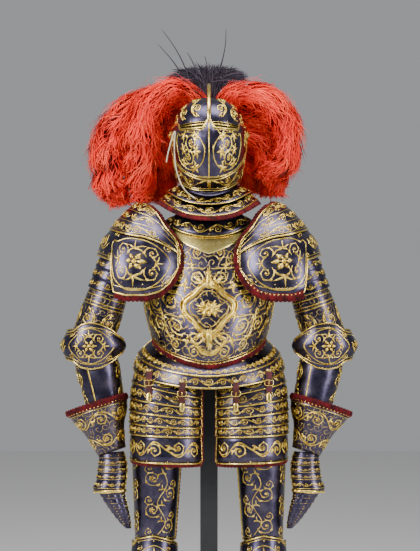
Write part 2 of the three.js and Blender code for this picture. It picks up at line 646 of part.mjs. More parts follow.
// ---------------------------------------------------------------- gauntlets
const CUFF = [
  { s: -4, out: 89, inn: 87, front: 76, back: 74 },
  { s: 20, out: 78, inn: 79, front: 67, back: 66 },
  { s: 60, out: 60, inn: 59, front: 54, back: 54 },
  { s: 100, out: 48, inn: 47, front: 43, back: 43 },
  { s: 128, out: 42, inn: 42, front: 37, back: 38 },
];
const HAND = [
  { s: 0, z: 812, x: 278, y: -34, out: 33, inn: 34, front: 29, back: 30 },
  { s: 1, z: 770, x: 275, y: -38, out: 40, inn: 40, front: 37, back: 33 },
  { s: 2, z: 726, x: 277, y: -42, out: 44, inn: 40, front: 40, back: 30 },
  { s: 2.3, z: 708, x: 279, y: -43, out: 49, inn: 38, front: 41, back: 29 },
  { s: 2.6, z: 696, x: 275, y: -44, out: 40, inn: 37, front: 37, back: 27 },
  { s: 3.4, z: 656, x: 258, y: -45, out: 31, inn: 29, front: 30, back: 22 },
  { s: 4.2, z: 616, x: 240, y: -43, out: 19, inn: 18, front: 20, back: 15 },
  { s: 4.7, z: 592, x: 230, y: -40, out: 8, inn: 8, front: 9, back: 8 },
];

function gauntlet(parent, side) {
  add(parent, `gauntlet_cuff_${side}`,
    plate(ringForm(CUFF, { fullness: 2.1, frame: CUFF_AXIS }), fullTurn(12), -4, 128,
      [0, 0.2, 0.5, 1], { closed: true, inside: CUFF_AXIS(new THREE.Vector3(0, 0, 60)) }),
    steel);
  // The hand's plates cover its back, its thumb side and the fingers, and leave the palm open.
  add(parent, `gauntlet_hand_${side}`,
    plate(ringForm(HAND, { fullness: 2.2 }), steps(-80, 175, 10), 0, 4.7,
      [0, 0.21, 0.42, 0.49, 0.555, 0.72, 0.89, 1], { inside: new THREE.Vector3(262, -42, 700) }),
    steel);
}

// ---------------------------------------------------------------- legs
const CUISSE = [
  { s: 556, x: 154, y: -3, out: 58, inn: 58, front: 62, back: 56 },
  { s: 600, x: 153, y: -2, out: 60, inn: 60, front: 66, back: 60 },
  { s: 680, x: 151, y: 0, out: 65, inn: 64, front: 71, back: 66 },
  { s: 760, x: 149, y: 2, out: 70, inn: 68, front: 77, back: 72 },
  { s: 820, x: 145, y: 4, out: 74, inn: 70, front: 80, back: 76 },
  { s: 880, x: 140, y: 6, out: 76, inn: 72, front: 82, back: 80 },
];
const POLEYN = [
  { s: 428, x: 155, y: -3, out: 65, inn: 65, front: 69, back: 60 },
  { s: 462, x: 155, y: -4, out: 67, inn: 66, front: 78, back: 62 },
  { s: 500, x: 155, y: -4, out: 70, inn: 67, front: 88, back: 64 },
  { s: 540, x: 154, y: -3, out: 67, inn: 65, front: 76, back: 62 },
  { s: 574, x: 154, y: -3, out: 63, inn: 63, front: 68, back: 60 },
];
const POLEYN_HALF = [[-84, 40], [-60, 52], [0, 73], [50, 62], [70, 44], [100, 50], [128, 34]];
const GREAVE = [
  { s: 22, x: 161, y: 6, out: 40, inn: 40, front: 44, back: 58 },
  { s: 70, x: 161, y: 5, out: 43, inn: 43, front: 45, back: 54 },
  { s: 110, x: 160, y: 2, out: 42, inn: 42, front: 44, back: 46 },
  { s: 150, x: 159, y: 0, out: 42, inn: 42, front: 41, back: 46 },
  { s: 240, x: 157, y: 0, out: 50, inn: 50, front: 46, back: 56 },
  { s: 330, x: 156, y: 0, out: 57, inn: 56, front: 53, back: 66 },
  { s: 400, x: 155, y: 0, out: 59, inn: 58, front: 57, back: 66 },
  { s: 470, x: 155, y: -1, out: 57, inn: 57, front: 59, back: 60 },
];
// The greave's lower edge by turn from the front: over the instep, then down round the heel.
const GREAVE_FOOT = [[0, 119], [30, 116], [55, 103], [66, 92], [74, 30], [180, BASE_THICK + 10]];
const SABATON = [
  { s: 28, half: 51, front: 99, back: 10 },
  { s: 60, half: 50, front: 88, back: 10 },
  { s: 110, half: 51, front: 70, back: 10 },
  { s: 160, half: 47, front: 54, back: 10 },
  { s: 200, half: 35, front: 40, back: 10 },
  { s: 224, half: 14, front: 24, back: 10 },
];
const FOOT_X = 162;

function leg(parent, side) {
  const round = (z, x = 153) => ({ inside: new THREE.Vector3(x, 0, z) });
  add(parent, `cuisse_${side}`,
    plate(ringForm(CUISSE), steps(-82, 150, 10), 880, 558, [0, 0.3, 0.65, 1], round(700)),
    steel);
  add(parent, `poleyn_${side}`,
    plate(ringForm(POLEYN, { fullness: 2.1 }), [-84, -60, -38, -18, 0, 18, 38, 58, 78, 100, 128],
      (t) => 501 + along(POLEYN_HALF, t), (t) => 501 - along(POLEYN_HALF, t),
      [0, 0.25, 0.5, 0.75, 1], round(500)), steel);
  const greaveTurns = mirrored([0, 30, 55, 66, 74, 100, 130, 160]).concat([180]);
  add(parent, `greave_${side}`,
    plate(ringForm(GREAVE, { fullness: 2.1 }), greaveTurns, 468,
      (t) => along(GREAVE_FOOT, Math.abs(t)), [0, 0.22, 0.45, 0.7, 0.9, 1],
      { closed: true, ...round(300) }), steel);
  const soleZ = BASE_THICK + 0.6;
  const sabatonForm = ringForm(SABATON, {
    fullness: 2.1,
    frame: (p) => new THREE.Vector3(FOOT_X + p.x, -p.z, soleZ - p.y),
  });
  add(parent, `sabaton_${side}`,
    plate(sabatonForm, steps(-90, 90, 8), 28, 224, [0, 0.25, 0.5, 0.75, 0.9, 1],
      { inside: new THREE.Vector3(FOOT_X, -110, soleZ) }), steel);
}

// ---------------------------------------------------------------- plumes
// A feather's reach: a round-ended tube along a curve, flatter from front to back.
function featherReach(points, radii, flat = 0.78, rings = 9, sides = 9) {
  const curve = new THREE.CatmullRomCurve3(points.map((p) => new THREE.Vector3(...p)));
  const grid = steps(0, 1, rings).map((t, i) => {
    const centre = curve.getPoint(t);
    const tangent = curve.getTangent(t);
    const across = new THREE.Vector3(0, 1, 0).cross(tangent).normalize();
    const depth = new THREE.Vector3().crossVectors(tangent, across).normalize();
    const radius = along(radii, t);
    return fullTurn(sides).map((turn) =>
      centre.clone()
        .addScaledVector(across, radius * Math.cos(turn * RAD))
        .addScaledVector(depth, radius * flat * Math.sin(turn * RAD)),
    );
  });
  const n = grid.length * sides;
  const faces = [];
  for (let i = 0; i < grid.length - 1; i++) {
    for (let j = 0; j < sides; j++) {
      const [a, b] = [i * sides + j, i * sides + ((j + 1) % sides)];
      faces.push([a, b, b + sides], [a, b + sides, a + sides]);
    }
  }
  const ends = [curve.getPoint(0), curve.getPoint(1)];
  for (let j = 0; j < sides; j++) {
    const k = (j + 1) % sides;
    faces.push([n, k, j], [n + 1, n - sides + j, n - sides + k]);
  }
  const g = closedGeometry([...grid.flat(), ...ends], faces);
  return solidOf(g).volume() < 0 ? closedGeometry([...grid.flat(), ...ends],
    faces.map((f) => f.slice().reverse())) : g;
}

const FEATHERS = {
  right: [
    // on -X, the suit's right: one falls in front, one arches outside it, one fills behind
    { points: [[-14, 152, 1728], [-42, 140, 1812], [-112, 104, 1842], [-176, 72, 1790],
      [-194, 56, 1700], [-190, 54, 1615], [-194, 64, 1556]],
      radii: [[0, 10], [0.2, 44], [0.45, 62], [0.8, 58], [1, 30]] },
    { points: [[-18, 156, 1724], [-86, 152, 1812], [-192, 130, 1812], [-270, 104, 1738],
      [-294, 84, 1655], [-282, 78, 1585], [-264, 84, 1545]],
      radii: [[0, 10], [0.2, 46], [0.5, 62], [0.8, 60], [1, 30]] },
    { points: [[-16, 160, 1712], [-80, 158, 1738], [-128, 142, 1690], [-134, 130, 1620],
      [-142, 120, 1564]],
      radii: [[0, 10], [0.3, 44], [0.7, 54], [1, 34]] },
  ],
  left: [
    { points: [[14, 152, 1728], [58, 142, 1820], [138, 116, 1838], [206, 92, 1782],
      [230, 78, 1700], [212, 66, 1632], [172, 60, 1612]],
      radii: [[0, 10], [0.2, 42], [0.5, 52], [0.8, 46], [1, 22]] },
    { points: [[18, 158, 1712], [84, 154, 1730], [150, 132, 1700], [186, 112, 1632],
      [184, 104, 1576]],
      radii: [[0, 10], [0.3, 44], [0.7, 56], [1, 36]] },
    { points: [[16, 162, 1722], [90, 162, 1770], [158, 144, 1750], [186, 126, 1690]],
      radii: [[0, 10], [0.4, 44], [0.8, 46], [1, 24]] },
  ],
};
// The dark tuft behind the comb, with the long quills that stand up out of it.
const TUFT = { x: -4, y: 200, z: 1902, wide: 122, deep: 22, high: 44 };
const TUFT_STEM = { from: [0, 168, 1700], to: [0, 200, 1880], foot: 7, head: 14 };
const QUILLS = [
  { from: [-60, 1905], tip: [-144, 2052] },
  { from: [-74, 1900], tip: [-155, 2006] },
  { from: [-36, 1910], tip: [-67, 1982] },
  { from: [-6, 1910], tip: [-14, 1972] },
  { from: [22, 1905], tip: [51, 2056] },
];

function rod(from, to, foot, tip, sides = 6) {
  const [a, b] = [new THREE.Vector3(...from), new THREE.Vector3(...to)];
  const along3 = b.clone().sub(a);
  const g = new THREE.CylinderGeometry(tip, foot, along3.length(), sides);
  g.applyQuaternion(new THREE.Quaternion()
    .setFromUnitVectors(new THREE.Vector3(0, 1, 0), along3.clone().normalize()));
  const middle = a.add(b).multiplyScalar(0.5);
  return g.translate(middle.x, middle.y, middle.z);
}

function tuftReach(grow) {
  const g = new THREE.SphereGeometry(1, 10, 6);
  g.scale(TUFT.wide + grow, TUFT.deep + grow, TUFT.high + grow);
  return g.translate(TUFT.x, TUFT.y, TUFT.z);
}

function plumes(parent) {
  const { from, to, foot, head } = TUFT_STEM;
  const quills = QUILLS.map((q) =>
    rod([q.from[0], TUFT.y, q.from[1]], [q.tip[0], TUFT.y, q.tip[1]], 2.6, 0.9));
  add(parent, "aigrette", joined(tuftReach(0), rod(from, to, foot, head, 8), ...quills),
    blackPlume);
  const room = solidOf(tuftReach(1.5)).add(solidOf(rod(from, to, foot + 1.5, head + 1.5, 8)));
  const tube = solidOf(rod([0, PLUME_TUBE.y, 1640], [0, PLUME_TUBE.y, 1722.5], 11.5, 11.5, 10));
  for (const [side, feathers] of Object.entries(FEATHERS)) {
    const whole = feathers
      .map((f) => solidOf(featherReach(f.points, f.radii)))
      .reduce((sum, s) => sum.add(s));
    const half = new THREE.BoxGeometry(400, 600, 800);
    half.translate(side === "left" ? -200 + 0.3 : 200 - 0.3, 100, 1700);
    const cut = whole.subtract(room).subtract(tube).subtract(solidOf(half));
    add(parent, `plumes_${side}`, geometryOf(cut), redPlume);
  }
}

// ---------------------------------------------------------------- lace
// A thong looped at the corner of the sight: its short tail hangs outside it, its long one down
// the jaw to the collar.
const LACE_RADIUS = 2;
const LACE = [
  [-120, -86, 1632], [-117, -89, 1650], [-111, -92, 1674], [-104, -95, 1698],
  [-99, -97.5, 1713], [-96.5, -98.5, 1719], [-95, -99.5, 1714], [-96, -103, 1696],
  [-97, -106, 1672], [-96, -107, 1645], [-93, -106, 1618], [-87, -105, 1593],
  [-78, -105, 1570], [-66, -107, 1551], [-52, -111, 1538], [-38, -116, 1529],
];
function lace(parent) {
  add(parent, "helmet_lace",
    featherReach(LACE, [[0, LACE_RADIUS], [1, LACE_RADIUS]], 1, 30, 6), paleThong);
}

// ---------------------------------------------------------------- stand
const STAND = { width: 600, depth: 520, post: 50, postY: 25, yoke: 190, top: 1460 };
function stand(parent) {
  add(parent, "stand_base",
    placed(new THREE.BoxGeometry(STAND.width, STAND.depth, BASE_THICK), 0, 0,
      BASE_THICK / 2), paintedSteel);
  const foot = BASE_THICK + 0.3;
  const post = placed(new THREE.BoxGeometry(STAND.post, STAND.post, STAND.top - foot), 0,
    STAND.postY, (STAND.top + foot) / 2);
  const yoke = placed(new THREE.BoxGeometry(STAND.yoke, 40, 28), 0, STAND.postY,
    STAND.top - 18);
  const neckRod = rod([0, STAND.postY, STAND.top - 10], [0, STAND.postY, 1790], 12, 12, 10);
  const headRest = rod([0, STAND.postY, 1782], [0, STAND.postY, 1798], 48, 40, 14);
  add(parent, "stand_post", joined(post, yoke, neckRod, headRest), paintedSteel);
}

// ---------------------------------------------------------------- the suit
helmet(suit);
neck(suit);
cuirass(suit);
skirt(suit);
for (const [side, mirror] of [["left", 1], ["right", -1]]) {
  const half = new THREE.Group();
  half.scale.x = mirror;
  suit.add(half);
  tasset(half, side);
  straps(half, side);
  pauldron(half, side);
  arm(half, side);
  gauntlet(half, side);
  leg(half, side);
}
plumes(suit);
lace(suit);
stand(suit);

export default suit;
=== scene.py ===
# %% [markdown]
# # A parade suit of plate armour
# This lesson dresses a finished CAD model of a suit of armour in Blender. The CAD says where each
# plate is. Here each plate becomes a smooth wall with a rolled, gilt edge, and the foliage that a
# gilder etched into the real steel is built as low relief that follows the surface. The lace
# comes first; feathers, velvet borders and straps come after the steel.

import json
import math

import bmesh
import bpy
import numpy as np
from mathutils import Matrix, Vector

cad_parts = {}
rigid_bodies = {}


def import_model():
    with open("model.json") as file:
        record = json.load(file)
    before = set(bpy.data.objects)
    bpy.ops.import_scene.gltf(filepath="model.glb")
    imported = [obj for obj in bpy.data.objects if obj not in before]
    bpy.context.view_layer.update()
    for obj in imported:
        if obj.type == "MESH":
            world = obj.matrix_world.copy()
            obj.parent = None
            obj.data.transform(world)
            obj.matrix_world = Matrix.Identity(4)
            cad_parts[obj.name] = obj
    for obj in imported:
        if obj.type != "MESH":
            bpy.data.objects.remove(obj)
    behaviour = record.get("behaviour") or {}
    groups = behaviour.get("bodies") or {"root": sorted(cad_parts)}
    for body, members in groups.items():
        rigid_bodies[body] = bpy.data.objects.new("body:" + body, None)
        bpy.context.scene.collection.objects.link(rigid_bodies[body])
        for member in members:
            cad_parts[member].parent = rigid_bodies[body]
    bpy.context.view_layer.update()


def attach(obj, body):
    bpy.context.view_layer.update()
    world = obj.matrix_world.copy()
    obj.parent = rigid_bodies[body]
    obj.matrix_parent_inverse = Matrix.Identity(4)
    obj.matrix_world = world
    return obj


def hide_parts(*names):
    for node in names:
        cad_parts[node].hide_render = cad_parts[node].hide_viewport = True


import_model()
MM = 0.001
RAD = math.pi / 180

# %% [markdown]
# ## Camera
# The suit is seen straight on and nearly level from the height of the breastplate, through a long
# lens, so that the plates keep their proportions.

# %% Camera
EYE = Vector((0.003, -5.0, 1.3123))
FRAME_HEIGHT = 1.584  # what the frame takes in, top to bottom, at the suit
SENSOR = 36  # millimetres, upright

camera_data = bpy.data.cameras.new("camera")
camera = bpy.data.objects.new("camera", camera_data)
bpy.context.scene.collection.objects.link(camera)
camera.location = EYE
camera.rotation_euler = (math.pi / 2, 0, 0)
camera_data.sensor_fit = "VERTICAL"
camera_data.sensor_height = SENSOR
camera_data.lens = SENSOR * -EYE.y / FRAME_HEIGHT
bpy.context.scene.camera = camera
print("lens", round(camera_data.lens, 1), "mm")

# %% [markdown]
# ## The lace
# A leather thong is looped at the corner of the sight, to tie the visor down. It is a free cord,
# so its route is a list of points and its length is what those points measure.

# %% Lace
LACE_DIAMETER = 0.004
LACE = [
    (-120, -86, 1632), (-117, -89, 1650), (-111, -92, 1674), (-104, -95, 1698),
    (-99, -97.5, 1713), (-96.5, -98.5, 1719), (-95, -99.5, 1714), (-96, -103, 1696),
    (-97, -106, 1672), (-96, -107, 1645), (-93, -106, 1618), (-87, -105, 1593),
    (-78, -105, 1570), (-66, -107, 1551), (-52, -111, 1538), (-38, -116, 1529),
]


def collect(ob):
    """Puts a new object in the scene and hands it back."""
    bpy.context.scene.collection.objects.link(ob)
    return ob


def catmull(points, steps):
    """A smooth run of points through the given ones, as an array."""
    p = np.array(points, float)
    p = np.vstack([2 * p[0] - p[1], p, 2 * p[-1] - p[-2]])
    t = np.linspace(0, 1, steps, endpoint=False)[:, None]
    spans = []
    for a, b, c, d in zip(p, p[1:], p[2:], p[3:]):
        spans.append(0.5 * (2 * b + (c - a) * t + (2 * a - 5 * b + 4 * c - d) * t**2
                            + (3 * b - a - 3 * c + d) * t**3))
    return np.vstack(spans + [p[-2:-1]])


LOOP = 5  # the point of the route that passes through the eyelet


def thong(name, points):
    """One tail of the lace, from the eyelet to its free end."""
    route = catmull(points, 6) * MM
    curve = bpy.data.curves.new(name, "CURVE")
    curve.dimensions = "3D"
    spline = curve.splines.new("POLY")
    spline.points.add(len(route) - 1)
    for knot, place in zip(spline.points, route):
        knot.co = (*place, 1)
        knot.radius = LACE_DIAMETER / 2  # a curve's box grows by its knots' radius, so it is real
    curve.bevel_depth = 1
    curve.bevel_resolution = 2
    curve.use_fill_caps = True
    tail = collect(bpy.data.objects.new(name, curve))
    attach(tail, "visor")
    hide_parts("helmet_lace")
    return tail


laces = [thong("lace_long", LACE[LOOP:]), thong("lace_short", LACE[LOOP::-1])]

# %% [markdown]
# ## Forms
# A plate is beaten over a form, and so are these. A ring form is a stack of rings given by a short
# table in millimetres: a row has its station s, its centre x, y, z, and its reach outwards,
# inwards, to the front and to the back. A point is asked for by its turn (0 in front, 90 outwards)
# and its station. The same tables made the CAD walls, so each new plate lies where its CAD
# node is.

# %% Forms: tables
PLAIN = {"x": 0, "y": 0, "z_front": 0, "z_back": 0, "keel": 0}


def pair(a, b):
    """Two numbers or arrays as arrays of one shape."""
    return np.broadcast_arrays(np.asarray(a, float), np.asarray(b, float))


def unit(v):
    return v / np.maximum(np.linalg.norm(v, axis=-1, keepdims=True), 1e-9)


def table_of(columns, rows):
    return [dict(zip(columns.split(), row)) for row in rows]


def section(rows, s):
    """Every column of the table at the stations s, on a smooth curve through its rows."""
    at = np.array([row["s"] for row in rows], float)
    s = np.asarray(s, float)
    i = np.clip(np.searchsorted(at, s) - 1, 0, len(at) - 2)
    before, after = np.maximum(i - 1, 0), np.minimum(i + 2, len(at) - 1)
    span = at[i + 1] - at[i]
    t = np.clip((s - at[i]) / span, 0, 1)
    out = {}
    for key in rows[0]:
        v = np.array([row[key] for row in rows], float)
        slope_a = (v[i + 1] - v[before]) / (at[i + 1] - at[before]) * span
        slope_b = (v[after] - v[i]) / (at[after] - at[i]) * span
        out[key] = (v[i] * (2 * t**3 - 3 * t**2 + 1) + slope_a * (t**3 - 2 * t**2 + t)
                    + v[i + 1] * (3 * t**2 - 2 * t**3) + slope_b * (t**3 - t**2))
    return out


def squared(v, fullness):
    """A sine or cosine squared off to a superellipse; 2 leaves it alone."""
    return np.sign(v) * np.abs(v) ** (2 / fullness)


print("tables can be read")

# %% Forms: rings and limbs
def ring_form(columns, rows, fullness=2.3, place=None, keel_turn=45, dip=None, **fixed):
    """A form from a table's column names and rows; fixed columns are the same in every row."""
    table = []
    for row in table_of(columns, rows):
        r = {**PLAIN, **fixed, **row}
        half = r.pop("half", None)
        r.setdefault("out", half)
        r.setdefault("inn", half)
        r.setdefault("z", r["s"])
        table.append(r)

    def point(turn, s):
        turn, s = pair(turn, s)
        r = section(table, s)
        sin, cos = np.sin(turn * RAD), np.cos(turn * RAD)
        if dip:
            ahead = np.maximum(0, 1 - np.abs(turn / 90) ** dip)
        else:
            ahead = np.maximum(cos, 0) ** 2
        behind = np.maximum(-cos, 0) ** 2
        crease = r["keel"] * np.maximum(0, 1 - np.abs(turn) / keel_turn)
        wide = np.where(sin > 0, r["out"], r["inn"])
        deep = np.where(cos > 0, r["front"], r["back"])
        p = np.stack([r["x"] + wide * squared(sin, fullness),
                      r["y"] - deep * squared(cos, fullness) - crease,
                      r["z"] + r["z_front"] * ahead + r["z_back"] * behind], axis=-1)
        return place(p) if place else p

    return point


def limb(start, end):
    """Places a limb: its own z runs down it from start to end, and its x stays outwards."""
    start, end = np.array(start, float), np.array(end, float)
    down = (end - start) / np.linalg.norm(end - start)
    back = -np.cross([1, 0, 0], down)
    back /= np.linalg.norm(back)
    outward = -np.cross(back, down)
    outward *= np.sign(outward[0])
    return lambda p: start + p[..., :1] * outward + p[..., 1:2] * back + p[..., 2:] * down


HELM = (5, 1715)  # y and z of the line from ear to ear that the visor turns on


def helm_form(rows, half_width, fullness, keel=0, keel_side=26):
    """A form turned about the ear line: side runs from ear to ear, rise up from the front. Its
    rows give its radius at each rise."""
    rows = table_of("s r", rows)

    def point(side, rise):
        side, rise = pair(side, rise)
        crease = keel * np.maximum(0, 1 - np.abs(side) / keel_side)
        reach = (section(rows, rise)["r"] + crease) * squared(np.cos(side * RAD), fullness)
        return np.stack([half_width * squared(np.sin(side * RAD), fullness),
                         HELM[0] - reach * np.cos(rise * RAD),
                         HELM[1] + reach * np.sin(rise * RAD)], axis=-1)

    return point


def along(table, key):
    """Straight interpolation in a table of (key, value) rows."""
    return np.interp(key, [row[0] for row in table], [row[1] for row in table])


print("ring, limb and helmet forms ready")

# %% Forms: plates on a form
def patch(form, turn_from, turn_to, top, bottom):
    """A plate's outline on its form: u runs across it and v down it, both from 0 to 1. top and
    bottom are stations, or tables or functions of the turn."""

    def at(edge, turn):
        if isinstance(edge, tuple):
            return along(edge, turn)
        return edge(turn) if callable(edge) else edge

    def point(u, v):
        u, v = pair(u, v)
        turn = turn_from * (1 - u) + turn_to * u
        return form(turn, at(top, turn) * (1 - v) + at(bottom, turn) * v)

    return point


def mirrored(surface):
    """The same plate on the suit's right side, seen from outside with u still left to right."""
    return lambda u, v: surface(1 - np.asarray(u, float), v) * np.array([-1, 1, 1])


def normal(surface, u, v, step=0.002):
    """The outward normal of a plate at u, v."""
    u, v = pair(u, v)
    across = surface(np.minimum(u + step, 1), v) - surface(np.maximum(u - step, 0), v)
    downwards = surface(u, np.minimum(v + step, 1)) - surface(u, np.maximum(v - step, 0))
    return unit(np.cross(downwards, across))


def raised(surface, height):
    """The plate lifted off its form by a height in millimetres, which may depend on u and v."""
    def point(u, v):
        h = height(u, v) if callable(height) else height
        return surface(u, v) + normal(surface, u, v) * np.asarray(h)[..., None]
    return point


def size_of(surface):
    """How wide and how tall a plate is, in millimetres, along its middle lines."""
    t = np.linspace(0, 1, 60)
    wide = np.linalg.norm(np.diff(surface(t, 0.5 + 0 * t), axis=0), axis=1).sum()
    tall = np.linalg.norm(np.diff(surface(0.5 + 0 * t, t), axis=0), axis=1).sum()
    return wide, tall


def window(surface, u_from, u_to, v_from, v_to):
    """Part of a plate as a plate of its own, so that a design is drawn to its real size there."""
    return lambda u, v: surface(u_from + (u_to - u_from) * np.asarray(u, float),
                                v_from + (v_to - v_from) * np.asarray(v, float))


print("plates can be cut, raised and mirrored")

# %% [markdown]
# ## Materials
# The steel is heat-blued to a dark violet and polished, so it is a metal with a dark colour and a
# low roughness. Gilding is fire-gilt gold worked into relief: warmer, brighter and a little
# rougher. Velvet has a pile, which catches light at its edges: that is its sheen.

# %% Node helpers
def linear(code):
    """A linear colour from an sRGB hex code."""
    parts = [int(code[i:i + 2], 16) / 255 for i in (1, 3, 5)]
    return [c / 12.92 if c <= 0.04045 else ((c + 0.055) / 1.055) ** 2.4 for c in parts] + [1]


def node(tree, kind, settings=None, inputs=None):
    """Adds a node with its settings, and gives its inputs values or links to other nodes."""
    made = tree.nodes.new(kind)
    for key, value in (settings or {}).items():
        setattr(made, key, value)
    for key, value in (inputs or {}).items():
        if isinstance(value, bpy.types.NodeSocket):
            tree.links.new(value, made.inputs[key])
        else:
            made.inputs[key].default_value = value
    return made


def ramp(tree, factor, stops):
    """A colour ramp from (place, colour) stops."""
    made = node(tree, "ShaderNodeValToRGB", inputs={"Fac": factor})
    while len(made.color_ramp.elements) < len(stops):
        made.color_ramp.elements.new(0.5)
    for element, (place, colour) in zip(made.color_ramp.elements, stops):
        element.position = place
        element.color = colour
    return made.outputs["Color"]


def blank(name, inputs):
    """A material with only its shader, whose plain values are set on the shader's sockets."""
    made = bpy.data.materials.new(name)
    made.use_nodes = True
    tree = made.node_tree
    shader = tree.nodes["Principled BSDF"]
    for key, value in inputs.items():
        shader.inputs[key].default_value = value
    return made, tree, shader


def wire(tree, value, socket):
    tree.links.new(value, socket)


def noise(tree, place, scale, detail, roughness=0.5):
    """A noise's strength at each place."""
    return node(tree, "ShaderNodeTexNoise", inputs={
        "Vector": place, "Scale": scale, "Detail": detail, "Roughness": roughness}).outputs["Fac"]


def bump(tree, shader, height, strength, distance, under=None):
    """Gives a shader fine relief, in metres, over the relief it may have already."""
    inputs = {"Height": height, "Strength": strength, "Distance": distance}
    if under:
        inputs["Normal"] = under
    made = node(tree, "ShaderNodeBump", inputs=inputs)
    wire(tree, made.outputs["Normal"], shader.inputs["Normal"])


print("node helpers ready")

# %% Steel and gilding
def blued_steel():
    """Heat-blued, polished steel: dark violet, cloudy where the blue has worn to brown."""
    made, tree, shader = blank("blued_polished_steel", {"Metallic": 1.0})
    place = node(tree, "ShaderNodeTexCoord").outputs["Object"]
    cloud = noise(tree, place, 28, 5, 0.6)  # blotches about 35 mm
    grain = noise(tree, place, 420, 3)  # hammer and polishing marks of 2 to 3 mm
    colour = ramp(tree, cloud, [
        (0.3, linear("#332F42")), (0.5, linear("#454053")), (0.72, linear("#625B69"))])
    wire(tree, colour, shader.inputs["Base Color"])
    rough = node(tree, "ShaderNodeMapRange", inputs={
        "Value": cloud, "From Min": 0.3, "From Max": 0.7, "To Min": 0.24, "To Max": 0.38})
    wire(tree, rough.outputs["Result"], shader.inputs["Roughness"])
    bump(tree, shader, grain, 0.12, 0.0006)
    return made


def gilding(name, light, mid, dark, roughness):
    """Fire-gilt relief: pale where it is rubbed, browner where dirt lies in the hollows."""
    made, tree, shader = blank(name, {"Metallic": 1.0, "Roughness": roughness})
    place = node(tree, "ShaderNodeTexCoord").outputs["Object"]
    wear = noise(tree, place, 95, 4, 0.65)  # rubbed spots of 10 mm
    colour = ramp(tree, wear, [
        (0.32, linear(dark)), (0.5, linear(mid)), (0.68, linear(light))])
    wire(tree, colour, shader.inputs["Base Color"])
    chasing = noise(tree, place, 700, 2)  # punch marks of about 1.5 mm
    bump(tree, shader, chasing, 0.25, 0.0005)
    return made


print("steel and gilding ready")

# %% Engraved ground
def engraved(name, cell, turns, width):
    """Blued steel with its ground filled by small gilt tendrils: one curl in each cell of a
    Voronoi pattern, drawn from the angle and distance to the cell's middle."""
    made = blued_steel()
    made.name = name
    tree = made.node_tree
    shader = tree.nodes["Principled BSDF"]
    steel_colour = shader.inputs["Base Color"].links[0].from_socket
    steel_rough = shader.inputs["Roughness"].links[0].from_socket
    steel_bump = shader.inputs["Normal"].links[0].from_socket
    place = node(tree, "ShaderNodeUVMap", {"uv_map": "plate"}).outputs["UV"]
    drift = node(tree, "ShaderNodeTexNoise", inputs={"Vector": place, "Scale": 60, "Detail": 1})
    shift = node(tree, "ShaderNodeVectorMath", {"operation": "SCALE"},
                 {0: drift.outputs["Color"], "Scale": cell * 0.35}).outputs["Vector"]
    place = node(tree, "ShaderNodeVectorMath", {"operation": "ADD"},
                 {0: place, 1: shift}).outputs["Vector"]
    cells = node(tree, "ShaderNodeTexVoronoi", {"voronoi_dimensions": "2D"},
                 {"Vector": place, "Scale": 1 / cell, "Randomness": 0.75})
    offset = node(tree, "ShaderNodeVectorMath", {"operation": "SUBTRACT"},
                  {0: place, 1: cells.outputs["Position"]}).outputs["Vector"]
    parts = node(tree, "ShaderNodeSeparateXYZ", inputs={"Vector": offset})
    hand = node(tree, "ShaderNodeSeparateColor", inputs={"Color": cells.outputs["Color"]})

    def maths(kind, *values):
        return node(tree, "ShaderNodeMath", {"operation": kind},
                    dict(enumerate(values))).outputs[0]

    angle = maths("MULTIPLY", maths("ARCTAN2", parts.outputs["Y"], parts.outputs["X"]),
                  0.5 / math.pi)
    way = maths("SUBTRACT", maths("MULTIPLY", maths("GREATER_THAN", hand.outputs["Red"], 0.5),
                                  2.0), 1.0)
    wind = maths("ADD", maths("MULTIPLY", cells.outputs["Distance"], turns),
                 maths("MULTIPLY", angle, way))
    spiral = maths("FRACT", maths("ADD", wind, hand.outputs["Green"]))
    ridge = maths("ABSOLUTE", maths("SUBTRACT", spiral, 0.5))
    lobes = maths("SINE", maths("MULTIPLY", maths("ADD", maths("MULTIPLY", angle, 9.0), wind),
                                2 * math.pi))
    edge = maths("ADD", maths("MULTIPLY", lobes, width * 0.22), width / 2)
    mask = node(tree, "ShaderNodeMapRange", inputs={
        "Value": maths("SUBTRACT", edge, ridge), "From Min": -0.04, "From Max": 0.05})
    mask = mask.outputs["Result"]
    gilt = ramp(tree, drift.outputs["Fac"], [(0.35, linear("#9A7F38")),
                                             (0.65, linear("#CFB160"))])
    mixed = node(tree, "ShaderNodeMix", {"data_type": "RGBA"}, {"Factor": mask})
    wire(tree, steel_colour, mixed.inputs[6])
    wire(tree, gilt, mixed.inputs[7])
    wire(tree, mixed.outputs[2], shader.inputs["Base Color"])
    rough = node(tree, "ShaderNodeMapRange", inputs={"Value": mask, "To Max": 0.4})
    wire(tree, steel_rough, rough.inputs["To Min"])
    wire(tree, rough.outputs["Result"], shader.inputs["Roughness"])
    bump(tree, shader, mask, 0.7, 0.0006, steel_bump)
    return made


print("engraved ground ready")

# %% Cloth, leather and paint
def cloth(name, light, dark, weave, inputs):
    """A soft dyed material: mottled colour and a fine nap."""
    made, tree, shader = blank(name, inputs)
    place = node(tree, "ShaderNodeTexCoord").outputs["Object"]
    mottle = noise(tree, place, 60, 4)
    wire(tree, ramp(tree, mottle, [(0.35, linear(dark)), (0.65, linear(light))]),
         shader.inputs["Base Color"])
    bump(tree, shader, noise(tree, place, weave, 2), 0.4, 0.0006)
    return made


STEEL = blued_steel()
ENGRAVED = engraved("blued_steel_gilt_tendrils", 0.03, 2.6, 0.12)
SCROLLED = engraved("blued_steel_gilt_scrolls", 0.042, 2.6, 0.15)
